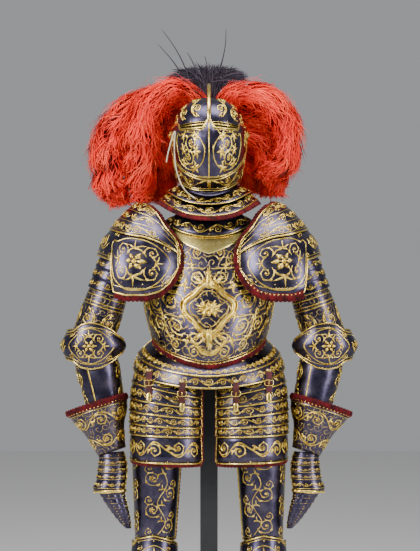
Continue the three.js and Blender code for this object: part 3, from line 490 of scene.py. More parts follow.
# silk velvet, its pile about 1 mm; leather with a grain of 2 mm; tawed thong; oil paint
VELVET = cloth("crimson_silk_velvet", "#620F16", "#2C060A", 900, {
    "Roughness": 0.9, "Sheen Weight": 0.35, "Sheen Roughness": 0.35,
    "Sheen Tint": (0.7, 0.12, 0.12, 1), "Specular IOR Level": 0.2})
LEATHER = cloth("dark_red_leather", "#5A1418", "#35090D", 500, {"Roughness": 0.6})
THONG = cloth("pale_tawed_thong", "#E2D6B8", "#BBAA84", 600, {"Roughness": 0.75})
PAINT = cloth("black_painted_steel", "#1B1C20", "#141519", 300, {"Roughness": 0.5})
GILT = gilding("fire_gilt_relief", "#FFE88C", "#EFCB58", "#AC8834", 0.31)
EDGE_GILT = gilding("gilt_rolled_edge", "#FFE894", "#EBCB66", "#A8873C", 0.27)
# The neckline's gilding: a real gilt band, paler and more even than the rest as a painted
# highlight on the polished chest.
SMOOTH_HIGHLIGHT_GILT = gilding("burnished_gilding", "#FFEEA0", "#F8E084", "#E8CA6C", 0.24)
print("materials:", [made.name for made in bpy.data.materials if made.node_tree])

# %% [markdown]
# ## Making plates
# A plate starts as a flat grid with one vertex for each place on its surface. Its vertices are
# moved onto the form, and Solidify gives the wall. A second maker lays a round bead along a path,
# for the edges that an armourer rolls over a wire and the gilder gilds.

# %% Plate makers
PLATE = 1.8  # the wall, in millimetres


def finish_piece(name, mesh, body, material, replaces=()):
    """Puts a mesh in the scene, rides it on its CAD body and says what it stands for."""
    mesh.materials.append(material)
    ob = collect(bpy.data.objects.new(name, mesh))
    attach(ob, body)
    if replaces:
        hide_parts(*replaces)
    return ob


def sheet_mesh(name, surface, across, down, closed=False):
    """A grid laid on a surface; closed joins its last column to its first."""
    bm = bmesh.new()
    bmesh.ops.create_grid(bm, x_segments=across, y_segments=down, size=0.5)
    flat = np.array([v.co[:2] for v in bm.verts])
    u, v = flat[:, 0] + 0.5, 0.5 - flat[:, 1]
    places = surface(u, v) * MM
    grid = surface(*np.meshgrid(np.linspace(0, 1, across + 1), np.linspace(0, 1, down + 1)))
    wide = np.linalg.norm(np.diff(grid, axis=1), axis=-1).cumsum(axis=1)
    tall = np.linalg.norm(np.diff(grid, axis=0), axis=-1).cumsum(axis=0)
    wide = np.hstack([np.zeros((down + 1, 1)), wide]) - wide[:, -1:] / 2
    tall = np.vstack([np.zeros((1, across + 1)), tall])
    row, column = np.rint(v * down).astype(int), np.rint(u * across).astype(int)
    measured = np.stack([wide[row, column], tall[row, column]], axis=1) * MM
    uv = bm.loops.layers.uv.new("plate")
    for face in bm.faces:
        for loop in face.loops:
            loop[uv].uv = measured[loop.vert.index]
    for vert, place in zip(bm.verts, places):
        vert.co = place
    if closed:
        bmesh.ops.remove_doubles(bm, verts=bm.verts, dist=1e-5)
    for face in bm.faces:
        face.smooth = True
    mesh = bpy.data.meshes.new(name)
    bm.to_mesh(mesh)
    bm.free()
    return mesh


def plate(name, surface, across, down, body="suit", replaces=(), closed=False, wall=PLATE,
          material=STEEL):
    """A smooth steel wall over a surface, grown inwards."""
    mesh = sheet_mesh(name, surface, across, down, closed)
    ob = finish_piece(name, mesh, body, material, replaces)
    solid = ob.modifiers.new("wall", "SOLIDIFY")
    solid.thickness = wall * MM
    solid.offset = -1
    return ob


print("plates can be made")

# %% Beads and heaps
class Heap:
    """Many small closed shapes gathered as arrays and made into one mesh."""

    def __init__(self):
        self.points, self.faces, self.count = [], [], 0

    def add(self, points, faces):
        self.points.append(np.asarray(points, float))
        self.faces.append(np.asarray(faces) + self.count)
        self.count += len(points)

    def mesh(self, name, solid=True):
        """One mesh of everything gathered; solid closes open ends and faces it all outwards."""
        points = np.vstack(self.points) * MM
        faces = np.vstack(self.faces)
        made = bpy.data.meshes.new(name)
        made.vertices.add(len(points))
        made.vertices.foreach_set("co", points.ravel())
        made.loops.add(faces.size)
        made.loops.foreach_set("vertex_index", faces.ravel())
        made.polygons.add(len(faces))
        made.polygons.foreach_set("loop_start", np.arange(0, faces.size, faces.shape[1]))
        made.update(calc_edges=True)
        if solid:
            bm = bmesh.new()
            bm.from_mesh(made)
            bmesh.ops.holes_fill(bm, edges=bm.edges, sides=0)
            bmesh.ops.recalc_face_normals(bm, faces=bm.faces)
            bm.to_mesh(made)
            bm.free()
        made.shade_smooth()
        return made


def tube_faces(rings, sides, closed=False):
    """Quads between rings of the given number of points."""
    i, j = np.meshgrid(np.arange(rings if closed else rings - 1), np.arange(sides), indexing="ij")
    after = (i + 1) % rings
    k = (j + 1) % sides
    return np.stack([i * sides + j, after * sides + j, after * sides + k, i * sides + k],
                    axis=-1).reshape(-1, 4)


def bead(heap, centres, normals, radius, sides=6, flat=1.0, closed=False):
    """A round bead along a path; normals face out of the plate, and flat squashes its height."""
    c = np.asarray(centres, float)
    normals = np.broadcast_to(normals, c.shape)
    if closed:
        tangent = np.roll(c, -1, axis=0) - np.roll(c, 1, axis=0)
    else:
        tangent = np.gradient(c, axis=0)
    side = unit(np.cross(normals, unit(tangent)))
    radius = np.broadcast_to(radius, len(c)).copy().astype(float)
    if not closed:
        radius[[0, -1]] *= 0.05
    angle = np.arange(sides) / sides * 2 * math.pi
    ring = (np.cos(angle)[None, :, None] * side[:, None, :]
            + flat * np.sin(angle)[None, :, None] * normals[:, None, :])
    points = c[:, None, :] + radius[:, None, None] * ring
    heap.add(points.reshape(-1, 3), tube_faces(len(c), sides, closed))


def edge_path(surface, start, end, count):
    """Places along a straight run in u and v, with their normals."""
    t = np.linspace(0, 1, count)
    u = start[0] + (end[0] - start[0]) * t
    v = start[1] + (end[1] - start[1]) * t
    return surface(u, v), normal(surface, u, v)


print("beads can be laid")

# %% [markdown]
# ## The plates' tables
# These are the sizes of the real plates, in millimetres, the same as the CAD's. They are gathered
# here so that each plate below is only an outline on one of these forms.

# %% Tables: helmet and neck
SKULL = helm_form((
    (8, 116), (20, 119), (45, 117), (70, 110), (90, 108), (110, 111), (135, 120), (160, 126),
    (180, 127), (200, 130), (215, 142), (230, 168), (245, 194), (258, 203)), 102, 2.3)
VISOR = helm_form((
    (-50, 192), (-44, 190), (-30, 185), (-15, 176), (0, 163), (5, 156), (13, 143), (22, 128)),
    109.5, 2.5, keel=6)
BEVOR = helm_form((
    (-102, 203), (-90, 202), (-74, 198), (-66, 193), (-59, 189), (-50, 188), (-44, 185.5),
    (-36, 182)), 106.2, 2.5)
SKULL_END = ((0, 230), (20, 231), (35, 235), (45, 244), (51, 250), (58, 257), (90, 257))
VISOR_TOP = ((0, 13), (2.5, 13), (4, 3.2), (44, 3.2), (48, 15), (87, 22))
BEVOR_END = ((0, -59), (20, -61.5), (35, -64.5), (45, -69), (52, -80), (58, -97), (90, -97))
ROUND = "s half front back z z_front z_back"
COLLAR_UPPER = ring_form(ROUND, (
    (0, 74, 82, 89, 1606, -60, -2), (0.4, 77, 85, 96, 1577, -39, 11),
    (1, 122, 126, 118, 1554, -42, 4)))
COLLAR_LOWER = ring_form(ROUND, (
    (0, 111, 113, 107, 1552, -42, 4), (1, 139, 152, 132, 1531, -52, -2)))
GORGET = ring_form(ROUND, (
    (0, 84, 86, 84, 1508, -8, 10), (1, 96, 96, 92, 1488, -20, 4),
    (2, 130, 112, 122, 1468, -45, -38)))
print("helmet, collar and gorget tables")

# %% Tables: cuirass and skirt
TRUNK = ring_form("s half front back keel", (
    (1050, 148, 150, 100, 9), (1095, 156, 160, 104, 11), (1138, 165, 163, 108, 11),
    (1180, 176, 160, 114, 10), (1235, 187, 153, 124, 9), (1290, 190, 142, 129, 8),
    (1340, 182, 129, 129, 7), (1390, 163, 113, 126, 6), (1440, 132, 92, 112, 4),
    (1475, 108, 76, 96, 2)), keel_turn=35)
BREAST_REACH = ((0, 60), (0.15, 58), (0.3, 62), (0.45, 78), (0.55, 86), (1, 86))
BACK_REACH = ((0, 60), (0.2, 60), (0.35, 72), (0.5, 88), (0.6, 91.5), (1, 91.5))
FAULD = ring_form(ROUND, (
    (0, 153, 146, 96, 1152, -71, -4), (0.1, 155, 148, 98, 1136, -72, -4),
    (0.25, 174, 164, 116, 1119, -69, -4), (0.5, 195, 173, 138, 1098, -63, -18),
    (0.75, 208, 178, 152, 1076, -59, -36), (1, 217, 182, 162, 1053, -54, -53)), dip=1.4)
FAULD_HALF = 88
LIMB = "s out inn front back"
TASSET = ring_form(LIMB, (
    (768, 104, 112, 146, 100), (830, 106, 112, 145, 98), (900, 107, 112, 142, 96),
    (957, 105, 112, 140, 94), (1010, 100, 112, 128, 92), (1053, 84, 112, 110, 84),
    (1080, 72, 110, 98, 78)), 2.6, x=118, y=4)
TASSET_EDGES = ((1012, 1068), (967, 1010), (938, 965), (909, 930), (882, 895), (858, 865),
                (784, 790))  # each lame's lower edge beside the fork and at the hip
FORK_X, HIP_X = 27, 227
LAP, STEP = 8, 3.8  # how far a lame runs under the one above it, and how far it stands off
print("trunk, skirt and tasset tables")

# %% Tables: shoulders, arms and hands
PAULDRON = ring_form("s z x out inn front back", (
    (0, 1523, 172, 10, 10, 12, 12), (1, 1511, 176, 40, 40, 50, 48),
    (2, 1484, 182, 65, 78, 92, 88), (3, 1449, 186, 91, 108, 126, 120),
    (4, 1414, 190, 115, 135, 150, 139), (5, 1371, 194, 126, 150, 169, 152),
    (6, 1320, 196, 130, 152, 181, 159), (7, 1258, 198, 128, 145, 180, 155)), 2.6)
NECK_EDGE = ((-43, 4.7), (-38.7, 4.0), (-28, 3.0), (-20, 1.9), (0, 1.0), (30, 0.6), (90, 0.3),
             (150, 0.6), (180, 1.0), (196, 1.9), (204, 3.0), (211, 4.0), (215, 4.7))
BAND_LINE = ((-43, 4.9), (-30, 4.5), (0, 3.7), (30, 3.35), (60, 3.1), (90, 3.0), (120, 3.1),
             (150, 3.35), (180, 3.7), (204, 4.4), (215, 4.9))
HEM = ((-43, 5.6), (-37, 6.05), (-29, 6.5), (-18, 6.85), (-5, 7.0), (10, 7.0), (27, 6.85),
       (33, 5.3), (60, 5.05), (90, 5.0), (120, 5.05), (147, 5.3), (153, 6.6), (180, 6.7),
       (200, 6.4), (215, 5.6))
VELVET_PATH = ((24, 6.85), (10, 7.0), (-5, 7.0), (-18, 6.85), (-29, 6.5), (-37, 6.05),
               (-43, 5.6), (-43, 4.8), (-38.7, 4.0), (-28, 3.0), (-20, 1.9), (0, 1.0), (45, 0.5),
               (90, 0.3), (135, 0.5), (180, 1.0), (196, 1.9), (204, 3.0), (211, 4.0), (215, 4.8),
               (215, 5.5))
ELBOW = (338, 5, 1112)
UPPER_ARM = limb((262, 0, 1345), ELBOW)
FOREARM = limb((330, 5, 1105), (265, -28, 796))
CUFF_LIMB = limb((316, -20, 931), (274, -34, 799))
ARM_LAME = ring_form(LIMB, (
    (-34, 54, 57, 60, 60), (20, 57, 57, 59, 59), (90, 59, 58, 59, 59)), 2.1, UPPER_ARM)
ARM_LAME_ENDS = (-34, -4, 26, 56, 86)
UPPER_CANNON = ring_form(LIMB, (
    (80, 53, 53, 53, 53), (100, 58, 57, 57, 57), (150, 61, 59, 56, 59),
    (214, 63, 58, 54, 61)), 2.1, UPPER_ARM)
COUTER = ring_form(LIMB, (
    (-66, 66, 80, 68, 66), (-42, 70, 88, 74, 73), (-20, 81, 98, 78, 79), (0, 89, 106, 79, 82),
    (20, 82, 98, 78, 79), (42, 73, 88, 74, 73), (66, 68, 82, 69, 66)),
    2.2, lambda p: p * [1, 1, -1] + ELBOW)
COUTER_HALF = ((-72, 14), (-62, 24), (-45, 44), (-20, 61), (0, 66), (20, 60), (40, 43),
               (60, 38), (90, 42), (120, 44), (150, 36), (172, 20), (182, 14))
LOWER_CANNON = ring_form(LIMB, (
    (40, 64, 61, 54, 58), (66, 64, 61, 55, 58), (110, 60, 58, 54, 56), (155, 56, 55, 53, 53),
    (190, 51, 50, 48, 48)), 2.1, FOREARM)
CUFF = ring_form(LIMB, (
    (-4, 89, 87, 76, 74), (20, 78, 79, 67, 66), (60, 60, 59, 54, 54), (100, 48, 47, 43, 43),
    (128, 42, 42, 37, 38)), 2.1, CUFF_LIMB)
HAND = ring_form("s z x y out inn front back", (
    (0, 812, 278, -34, 33, 34, 29, 30), (1, 770, 275, -38, 40, 40, 37, 33),
    (2, 726, 277, -42, 44, 40, 40, 30), (2.3, 708, 279, -43, 49, 38, 41, 29),
    (2.6, 696, 275, -44, 40, 37, 37, 27), (3.4, 656, 258, -45, 31, 29, 30, 22),
    (4.2, 616, 240, -43, 19, 18, 20, 15), (4.7, 592, 230, -40, 8, 8, 9, 8)), 2.2)
print("shoulder, arm and hand tables")

# %% Tables: legs
LEG = "s x y out inn front back"
CUISSE = ring_form(LEG, (
    (556, 154, -3, 58, 58, 62, 56), (600, 153, -2, 60, 60, 66, 60), (680, 151, 0, 65, 64, 71, 66),
    (760, 149, 2, 70, 68, 77, 72), (820, 145, 4, 74, 70, 80, 76),
    (880, 140, 6, 76, 72, 82, 80)), 2.3)
POLEYN = ring_form(LEG, (
    (428, 155, -3, 65, 65, 69, 60), (462, 155, -4, 67, 66, 78, 62), (500, 155, -4, 70, 67, 88, 64),
    (540, 154, -3, 67, 65, 76, 62), (574, 154, -3, 63, 63, 68, 60)), 2.1)
POLEYN_HALF = ((-84, 40), (-60, 52), (0, 73), (50, 62), (70, 44), (100, 50), (128, 34))
GREAVE = ring_form(LEG, (
    (22, 161, 6, 40, 40, 44, 58), (70, 161, 5, 43, 43, 45, 54), (110, 160, 2, 42, 42, 44, 46),
    (150, 159, 0, 42, 42, 41, 46), (240, 157, 0, 50, 50, 46, 56), (330, 156, 0, 57, 56, 53, 66),
    (400, 155, 0, 59, 58, 57, 66), (470, 155, -1, 57, 57, 59, 60)), 2.1)
GREAVE_FOOT = ((0, 119), (30, 116), (55, 103), (66, 92), (74, 30), (180, 22))
FOOT_X, SOLE_Z = 162, 12.6
SABATON = ring_form("s half front", (
    (28, 51, 99), (60, 50, 88), (110, 51, 70), (160, 47, 54), (200, 35, 40), (224, 14, 24)),
    2.1, lambda p: np.stack([FOOT_X + p[..., 0], -p[..., 2], SOLE_Z - p[..., 1]], axis=-1),
    back=10)
print("leg and foot tables")

# %% [markdown]
# ## Outlines
# Each outline cuts a plate from its form. Both sides of the suit share the left side's outlines,
# and the right side's are mirrored.

# %% Outlines of lames
def tasset_edge(k):
    fork, hip = TASSET_EDGES[k]

    def height(turn):
        x = TASSET(turn, fork)[..., 0]
        return fork + (hip - fork) * (x - FORK_X) / (HIP_X - FORK_X)

    return height


def tasset_lame(k):
    upper = tasset_edge(k - 1)
    top = upper if k == 1 else lambda turn: upper(turn) + LAP
    flat = patch(TASSET, -54, 104, top, tasset_edge(k))
    return raised(flat, lambda u, v: STEP * v)


def cuirass(centre, reach, top, bottom):
    """A body plate, whose sides follow the reach; its edges' heights follow the share across."""
    def point(u, v):
        u, v = pair(u, v)
        share = np.abs(2 * u - 1)
        turn = centre + (2 * u - 1) * along(reach, v)
        return TRUNK(turn, top(share) * (1 - v) + bottom(share) * v)

    return point


def lame_stack(form, turns, ends, lift):
    """Overlapping lames as one surface: v runs down all of them, and each flares at its foot."""
    count, stations = len(ends) - 1, np.array(ends)

    def point(u, v):
        u, v = pair(u, v)
        k = np.minimum((v * count).astype(int), count - 1)
        share = v * count - k
        s = stations[k] + share * (stations[k + 1] - stations[k])
        turn = turns[0] + (turns[1] - turns[0]) * u
        p = form(turn, s)
        out = unit(p - form(turn + 180, s))
        return p + out * (lift * share**1.5)[..., None]

    return point


KNUCKLES = (2.3, 2.6, 4.7)  # stations of the hand: knuckle bar from and to, finger tips
BACK_LAMES, FINGER_SCALES = 5, 7
KNEE_Z = 501


def hand_lames(u, v):
    """The hand's steps: lames over the back, then four fingers of overlapping scales."""
    s = KNUCKLES[-1] * v
    lame = 2.4 * (s / KNUCKLES[0] * BACK_LAMES % 1)
    scale = 2.2 * ((s - KNUCKLES[1]) / (KNUCKLES[2] - KNUCKLES[1]) * FINGER_SCALES % 1)
    groove = -4.5 * (1 - np.abs(np.sin(4 * math.pi * u))) ** 2
    fade = np.clip((KNUCKLES[2] - s) / 0.4, 0, 1)
    return np.where(s < KNUCKLES[0], lame, np.where(s < KNUCKLES[1], 3.0,
                                                    (scale + groove) * fade))


print("lames ready")

# %% Every plate's outline
MIDDLE = {
    "helmet_skull": patch(SKULL, 87, -87, 11, lambda t: along(SKULL_END, np.abs(t))),
    "visor": patch(VISOR, -87, 87, lambda t: along(VISOR_TOP, np.abs(t)), -44),
    "bevor": patch(BEVOR, -87, 87, -37, lambda t: along(BEVOR_END, np.abs(t))),
    "collar_upper": patch(COLLAR_UPPER, -180, 180, 0, 1),
    "collar_lower": patch(COLLAR_LOWER, -180, 180, 0, 1),
    "gorget": patch(GORGET, -180, 180, 0, 2),
    "breastplate": cuirass(0, BREAST_REACH, lambda t: 1428 + 45 * t**2,
                           lambda t: 1065 + 80 * t**1.4),
    "backplate": cuirass(180, BACK_REACH, lambda t: 1440 + 22 * t**2,
                         lambda t: 1132 + 6 * t),
    "fauld_upper": raised(patch(FAULD, -FAULD_HALF, FAULD_HALF, 0, 0.56),
                          lambda u, v: 1.36 * STEP * v**2),
    "fauld_lower": patch(FAULD, -FAULD_HALF, FAULD_HALF, 0.5, 1),
    "culet": patch(FAULD, 92, 268, 0, 1),
}
SIDE = {
    **{f"tasset_lame_{k}": tasset_lame(k) for k in range(1, 7)},
    "pauldron_upper": raised(patch(PAULDRON, -43, 215, NECK_EDGE,
                                   lambda t: along(BAND_LINE, t) + 0.15), 3.4),
    "pauldron_main": patch(PAULDRON, -43, 215, BAND_LINE, HEM),
    "arm_lames": lame_stack(ARM_LAME, (255, -75), ARM_LAME_ENDS, STEP),
    "upper_cannon": patch(UPPER_CANNON, 360, 0, 80, 214),
    "couter": patch(COUTER, -72, 182, lambda t: -along(COUTER_HALF, t), COUTER_HALF),
    "lower_cannon": patch(LOWER_CANNON, 360, 0, 40, 190),
    "gauntlet_cuff": patch(CUFF, 360, 0, -4, 128),
    "gauntlet_hand": raised(patch(HAND, -80, 175, 0, KNUCKLES[-1]), hand_lames),
    "cuisse": patch(CUISSE, -82, 150, 880, 558),
    "poleyn": patch(POLEYN, -84, 128, lambda t: KNEE_Z + along(POLEYN_HALF, t),
                    lambda t: KNEE_Z - along(POLEYN_HALF, t)),
    "greave": patch(GREAVE, -180, 180, 468, lambda t: along(GREAVE_FOOT, np.abs(t))),
    "sabaton": patch(SABATON, -90, 90, 28, 224),
}
CLOSED = {"collar_upper", "collar_lower", "gorget", "upper_cannon", "lower_cannon",
          "gauntlet_cuff", "greave"}
BODY_OF = {"visor": "visor", "bevor": "bevor"}
SURFACES = dict(MIDDLE)
for name, surface in SIDE.items():
    SURFACES[f"{name}_left"] = surface
    SURFACES[f"{name}_right"] = mirrored(surface)
print(len(SURFACES), "steel plates")

# %% Steel plates
CELLS = {  # how finely each plate's grid is cut, across and down
    "helmet_skull": (60, 40), "visor": (90, 18), "bevor": (64, 14), "collar_upper": (60, 6),
    "collar_lower": (60, 5), "gorget": (60, 8), "breastplate": (62, 44), "backplate": (48, 32),
    "fauld_upper": (64, 9), "fauld_lower": (64, 6), "culet": (60, 12), "tasset_lame": (48, 4),
    "pauldron_upper": (66, 12), "pauldron_main": (96, 16), "arm_lames": (40, 32),
    "upper_cannon": (40, 14), "couter": (56, 20), "lower_cannon": (40, 12),
    "gauntlet_cuff": (44, 12), "gauntlet_hand": (40, 76), "cuisse": (40, 20),
    "poleyn": (40, 16), "greave": (40, 28), "sabaton": (36, 28),
}


def kind_of(name):
    """A node's name without its side and number, as CELLS and the designs list it."""
    plain = name.replace("_left", "").replace("_right", "")
    return "tasset_lame" if plain.startswith("tasset_lame") else plain


GROUNDS = {"breastplate": SCROLLED, "backplate": SCROLLED, "gauntlet_cuff": ENGRAVED,
           "upper_cannon": ENGRAVED}
plates = {}
for name, surface in SURFACES.items():
    across, down = CELLS[kind_of(name)]
    plates[name] = plate(f"{name}_wall", surface, across, down, BODY_OF.get(name, "suit"),
                         replaces=[name], closed=kind_of(name) in CLOSED,
                         material=GROUNDS.get(kind_of(name), STEEL))
print(len(plates), "walls")

# %% [markdown]
# ## Ostrich plumes
# Each plume arches over from the tube behind the helmet and hangs. A table gives the run of its
# quill and how far its barbs reach along it. Feathers are soft, a little sheeny and dyed red. The
# material reads a tone stored on each barb: it varies at random from lock to lock, with painted
# shade near the quill and painted light towards the tip.

# %% Plume material
def ostrich(name, light, mid, dark):
    made, tree, shader = blank(name, {
        "Roughness": 0.7, "Sheen Weight": 0.15, "Sheen Roughness": 0.4,
        "Sheen Tint": linear("#FF7A5C"), "Specular IOR Level": 0.25})
    tone = node(tree, "ShaderNodeAttribute", {"attribute_name": "tone"})
    # Dark to light by the barbs' tone: the dark end is painted shade, the light end painted light.
    colour = ramp(tree, tone.outputs["Fac"], [
        (0.0, linear(dark)), (0.45, linear(mid)), (1.0, linear(light))])
    wire(tree, colour, shader.inputs["Base Color"])
    return made


RED_PLUME = ostrich("dyed_ostrich_barbs", "#FF5A3C", "#EA2413", "#560607")
BLACK_PLUME = ostrich("black_heron_barbs", "#4A4250", "#211C28", "#0D0B11")
print("materials:", RED_PLUME.name, BLACK_PLUME.name)

# %% Plume tables
PLUMES = {  # each plume's quill, and the reach of its barbs along it, in millimetres
    "plumes_right": (
        {"quill": ((-14, 152, 1728), (-42, 140, 1812), (-112, 104, 1842), (-176, 72, 1790),
                   (-194, 56, 1700), (-190, 54, 1615), (-194, 64, 1556)),
         "reach": ((0, 24), (0.2, 46), (0.45, 62), (0.8, 58), (1, 30))},
        {"quill": ((-18, 156, 1724), (-86, 152, 1812), (-192, 130, 1812), (-270, 104, 1738),
                   (-294, 84, 1655), (-282, 78, 1585), (-264, 84, 1545)),
         "reach": ((0, 10), (0.2, 46), (0.5, 62), (0.8, 60), (1, 30))},
        {"quill": ((-16, 160, 1712), (-80, 158, 1738), (-128, 142, 1690), (-134, 130, 1620),
                   (-142, 120, 1564)),
         "reach": ((0, 10), (0.3, 44), (0.7, 54), (1, 34))},
        {"quill": ((-16, 160, 1722), (-62, 156, 1788), (-114, 140, 1764), (-138, 124, 1690)),
         "reach": ((0, 12), (0.3, 44), (0.8, 46), (1, 24))}),
    "plumes_left": (
        {"quill": ((14, 152, 1728), (58, 142, 1820), (138, 116, 1838), (206, 92, 1782),
                   (230, 78, 1700), (212, 66, 1632), (172, 60, 1612)),
         "reach": ((0, 24), (0.2, 46), (0.5, 52), (0.8, 46), (1, 22))},
        {"quill": ((18, 158, 1712), (84, 154, 1730), (150, 132, 1700), (186, 112, 1632),
                   (184, 104, 1576)),
         "reach": ((0, 10), (0.3, 44), (0.7, 56), (1, 36))},
        {"quill": ((16, 164, 1712), (76, 168, 1706), (112, 156, 1640), (124, 146, 1590)),
         "reach": ((0, 12), (0.3, 40), (0.7, 46), (1, 26))},
        {"quill": ((16, 162, 1722), (90, 162, 1770), (158, 144, 1750), (186, 126, 1690)),
         "reach": ((0, 10), (0.4, 44), (0.8, 46), (1, 24))}),
}
print("plumes a side:", [len(plumes) for plumes in PLUMES.values()])

# %% [markdown]
# ## Barbs
# An ostrich plume is a thin quill with hundreds of soft barbs, which gather in locks and flow
# towards its tip. Each barb here is a narrow ribbon: it leaves the quill, swells out to the
# plume's reach, sweeps along it and curls in. Barbs are drawn lock by lock, and each barb's tone
# is darker near the quill and at the edges of its lock as painted shade, so that the mass shows
# bright tips and dark gaps. A core inside stops the light, as the layers below do, and takes the
# darkest tone as painted shade.

# %% Barbs
BARB_STEPS = 7
chance = np.random.default_rng(7)


def quill_line(points, beyond=24):
    """Frames along a quill and a little past its end: places, across and depth."""
    line = catmull(points, 40)
    last = unit(line[-1] - line[-6]) + np.array([0, 0, -0.8])
    tail = line[-1] + np.outer(np.linspace(1, beyond, 24), unit(last))
    line = np.vstack([line, tail])
    runs = unit(np.gradient(line, axis=0))
    across = unit(np.cross([0, 1, 0], runs))
    return line, across, unit(np.cross(runs, across))


def barbs(points, reach, locks, each, rng):
    """Barbs along a quill, lock by lock: their places, the sides they face and their tones."""
    line, across, depth = quill_line(points)
    length = np.linalg.norm(np.diff(line, axis=0), axis=1).sum()
    knots = len(line) - 1
    share = np.linspace(0, 1, BARB_STEPS)[None, :]
    lock_t = rng.uniform(0, 0.93, locks)  # where a lock leaves the quill, as a share of it
    lock_angle = rng.uniform(0, 2 * math.pi, locks)
    lock_tone = rng.uniform(0.05, 0.95, locks)
    lock_sweep = rng.uniform(50, 105, locks) / length  # how far it runs along, 50 to 105 mm
    lock_twist = rng.normal(0, 0.5, locks)
    lock_swell = rng.uniform(0.86, 1.1, locks)
    of = np.repeat(np.arange(locks), each)
    n = len(of)
    spread = rng.normal(0, 0.16, n)
    t = (lock_t[of] + rng.normal(0, 0.012, n))[:, None] + lock_sweep[of][:, None] * share**1.15
    t = np.clip(t, 0, 1)
    angle = (lock_angle[of] + spread)[:, None] + (lock_twist[of] + spread * 1.4)[:, None] * share
    swell = np.sin(np.minimum(share * 1.5, 1) * math.pi / 2)
    out = 0.3 + 0.72 * swell - 0.2 * np.maximum(share - 0.8, 0) / 0.2
    out = out * (lock_swell[of] * rng.uniform(0.86, 1.04, n))[:, None]
    out += 0.1 * np.maximum(share - 0.6, 0) / 0.4 * rng.normal(0.4, 1, n)[:, None]
    k = np.clip((t * knots).astype(int), 0, knots)
    radius = along(reach, np.minimum(t * 1.04, 1))
    span = (radius * out)[..., None]
    place = (line[k] + span * (np.cos(angle)[..., None] * across[k]
                               + 0.8 * np.sin(angle)[..., None] * depth[k]))
    phi = np.maximum(share - 0.62, 0) / 0.38 * rng.uniform(1.5, 5.5, n)[:, None]
    size = rng.uniform(4, 10, n)[:, None, None]
    run = unit(rng.normal(0, 1, (n, 1, 3)) + np.array([0, 0, -0.6]))
    fall = unit(rng.normal(0, 1, (n, 1, 3)))
    place += size * (np.sin(phi)[..., None] * run + (1 - np.cos(phi))[..., None] * fall)
    # Tone: a random value for each lock, plus painted light towards the tip and painted shade near
    # the quill and at the lock's edges.
    tone = np.clip(lock_tone[of][:, None] * 0.55 + rng.normal(0.08, 0.09, n)[:, None]
                   + 0.42 * share - 0.1 * np.abs(spread[:, None]) / 0.16, 0, 1)
    side = unit(np.cross(np.gradient(place, axis=1), unit(place - line[k])))
    return place, side, tone


def toned(mesh, tones):
    """Stores a tone, or one for each vertex, for the feathers' material to read."""
    tone = mesh.attributes.new("tone", "FLOAT", "POINT")
    tone.data.foreach_set("value", np.broadcast_to(tones, len(mesh.vertices)).astype(np.float32))
    return mesh


def ribbons(name, places, sides, tones, width, material, replaces):
    """One mesh of many tapering ribbons, with a tone stored on each vertex."""
    count, steps = places.shape[:2]
    t = np.linspace(0, 1, steps)
    taper = width * (0.45 + 0.6 * np.sin(math.pi * np.minimum(t * 1.1, 1)) ** 0.7)
    taper[-1] = width * 0.08
    points = np.stack([places - sides * taper[None, :, None],
                       places + sides * taper[None, :, None]], axis=2).reshape(-1, 3)
    base = np.arange(count)[:, None] * steps * 2 + np.arange(steps - 1)[None, :] * 2
    faces = np.stack([base, base + 1, base + 3, base + 2], axis=-1).reshape(-1, 4)
    heap = Heap()
    heap.add(points, faces)
    mesh = toned(heap.mesh(name, solid=False), np.repeat(tones, 2, axis=1).ravel())
    return finish_piece(name, mesh, "suit", material, replaces)


print("barbs of", BARB_STEPS, "steps")

# %% Plumes
LOCKS, BARBS_IN_LOCK = 150, 20
for node_name, plumes in PLUMES.items():
    heap = Heap()
    for number, plume in enumerate(plumes, 1):
        line, across, depth = quill_line(plume["quill"], 20)
        line, depth = line[::6], depth[::6]
        t = np.linspace(0, 1, len(line))
        lumps = 1 + 0.1 * np.sin(t * 47) + 0.08 * np.cos(t * 23)
        bead(heap, line, depth, along(plume["reach"], t) * 0.6 * lumps, sides=10, flat=0.75)
        places, sides, tones = barbs(plume["quill"], plume["reach"], LOCKS, BARBS_IN_LOCK,
                                     chance)
        ribbons(f"{node_name}_barbs_{number}", places, sides, tones, 1.45, RED_PLUME,
                [node_name])
    # The core takes the darkest tone, 0.05: painted shade inside the plume.
    finish_piece(f"{node_name}_core", toned(heap.mesh(f"{node_name}_core"), 0.05), "suit",
                 RED_PLUME)
print("plumes of", LOCKS * BARBS_IN_LOCK, "barbs each")

# %% [markdown]
# ## Heron tuft
# Behind the comb stands a tuft of short black herons' feathers: a fan of barbs, a sheaf of lower
# ones along its stem, and a few long quills above it.

# %% Tuft
TUFT = {"x": -4, "y": 200, "z": 1894, "wide": 122, "high": 48}
STEM = ((0, 168, 1700), (0, 198, 1880))
QUILLS = ((-60, 1905, -144, 2052), (-74, 1900, -155, 2006), (-36, 1910, -67, 1982),
          (-6, 1910, -14, 1972), (22, 1905, 51, 2056))  # x and z at each foot and tip
FAN_BARBS, SHEAF_BARBS = 2000, 700
FORWARD = np.array([0, -1.0, 0])


def bent(foot, tip, bow, steps=BARB_STEPS):
    """Runs from feet to tips, bowed out in the middle."""
    share = np.linspace(0, 1, steps)[None, :, None]
    return foot[:, None] * (1 - share) + tip[:, None] * share + bow * np.sin(math.pi * share)


angle = chance.uniform(-0.55, math.pi + 0.55, FAN_BARBS)
size = chance.uniform(0.35, 1.08, FAN_BARBS)
foot = np.stack([chance.normal(0, 24, FAN_BARBS), chance.normal(197, 7, FAN_BARBS),
                 chance.normal(1878, 7, FAN_BARBS)], axis=1)
tip = np.stack([TUFT["x"] + TUFT["wide"] * np.cos(angle) * size,
                TUFT["y"] + chance.normal(0, 10, FAN_BARBS),
                TUFT["z"] + TUFT["high"] * np.sin(angle) * size
                + chance.normal(0, 4, FAN_BARBS)], axis=1)
bow = np.stack([0 * size, chance.normal(0, 6, FAN_BARBS), 14 * np.abs(np.cos(angle))], axis=1)
fan = bent(foot, tip, bow[:, None])

